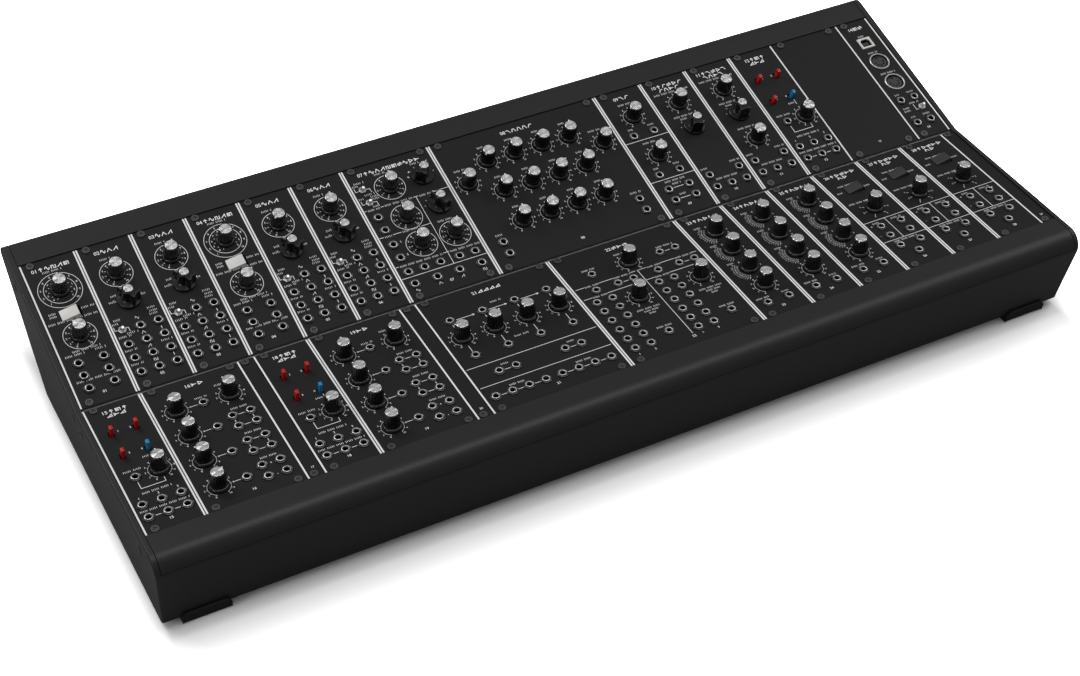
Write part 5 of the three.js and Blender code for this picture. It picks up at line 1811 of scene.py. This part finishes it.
class SYNTH_OT_knobs(bpy.types.Operator):
    """Knobs, each with a fluted body, a spun cap and a white mark."""
    bl_idname = "synth.knobs"
    bl_label = "Knobs"

    def execute(self, context):
        build_knobs()
        return {"FINISHED"}


class SYNTH_OT_selectors(bpy.types.Operator):
    """Rotary selectors with a round skirt and a waisted grip."""
    bl_idname = "synth.selectors"
    bl_label = "Selectors"

    def execute(self, context):
        build_selectors()
        return {"FINISHED"}


class SYNTH_OT_rockers(bpy.types.Operator):
    """Flat rockers, white on the drivers and dark on the amplifiers."""
    bl_idname = "synth.rockers"
    bl_label = "Rockers"

    def execute(self, context):
        build_rockers()
        return {"FINISHED"}


class SYNTH_OT_levers(bpy.types.Operator):
    """Paddle levers in their slots."""
    bl_idname = "synth.levers"
    bl_label = "Levers"

    def execute(self, context):
        build_levers()
        return {"FINISHED"}


class SYNTH_OT_toggles(bpy.types.Operator):
    """Small bat toggles with their nut and bush."""
    bl_idname = "synth.toggles"
    bl_label = "Toggles"

    def execute(self, context):
        build_toggles()
        return {"FINISHED"}


class SYNTH_OT_digital_sockets(bpy.types.Operator):
    """The square socket and the two round sockets of the digital interface."""
    bl_idname = "synth.digital_sockets"
    bl_label = "Digital sockets"

    def execute(self, context):
        build_digital_sockets()
        return {"FINISHED"}


class SYNTH_OT_inner_parts(bpy.types.Operator):
    """Rails and power board: the frame's own solids with their finish."""
    bl_idname = "synth.inner_parts"
    bl_label = "Rails and power board"

    def execute(self, context):
        build_inner_parts()
        return {"FINISHED"}


class SYNTH_OT_rear_inlet(bpy.types.Operator):
    """Power inlet and its switch on the rear wall."""
    bl_idname = "synth.rear_inlet"
    bl_label = "Power inlet and switch"

    def execute(self, context):
        build_rear_inlet()
        return {"FINISHED"}


OPERATORS = (
    SYNTH_OT_stage, SYNTH_OT_case, SYNTH_OT_feet, SYNTH_OT_panels,
    SYNTH_OT_print, SYNTH_OT_screws, SYNTH_OT_jacks, SYNTH_OT_knobs,
    SYNTH_OT_selectors, SYNTH_OT_rockers, SYNTH_OT_levers, SYNTH_OT_toggles,
    SYNTH_OT_digital_sockets, SYNTH_OT_inner_parts, SYNTH_OT_rear_inlet,
)


class SYNTH_PT_build(bpy.types.Panel):
    """Build steps of the synthesizer."""
    bl_idname = "SYNTH_PT_build"
    bl_label = "Modular synthesizer"
    bl_space_type = "VIEW_3D"
    bl_region_type = "UI"
    bl_category = "Synth"

    def draw(self, context):
        for operator in OPERATORS:
            self.layout.operator(operator.bl_idname)


def register():
    """Register the property groups, the operators and the panel."""
    for group in GROUPS.values():
        bpy.utils.register_class(group)
    for name, group in GROUPS.items():
        setattr(bpy.types.Scene, name, PointerProperty(type=group))
    for cls in (*OPERATORS, SYNTH_PT_build):
        bpy.utils.register_class(cls)


def unregister():
    """Take away what register added."""
    for cls in (SYNTH_PT_build, *reversed(OPERATORS)):
        bpy.utils.unregister_class(cls)
    for name in GROUPS:
        delattr(bpy.types.Scene, name)
    for group in GROUPS.values():
        bpy.utils.unregister_class(group)


def main():
    """Build every group of pieces in order."""
    register()
    for operator in OPERATORS:
        getattr(bpy.ops.synth, operator.bl_idname.split(".")[1])()


if __name__ == "__main__":
    main()
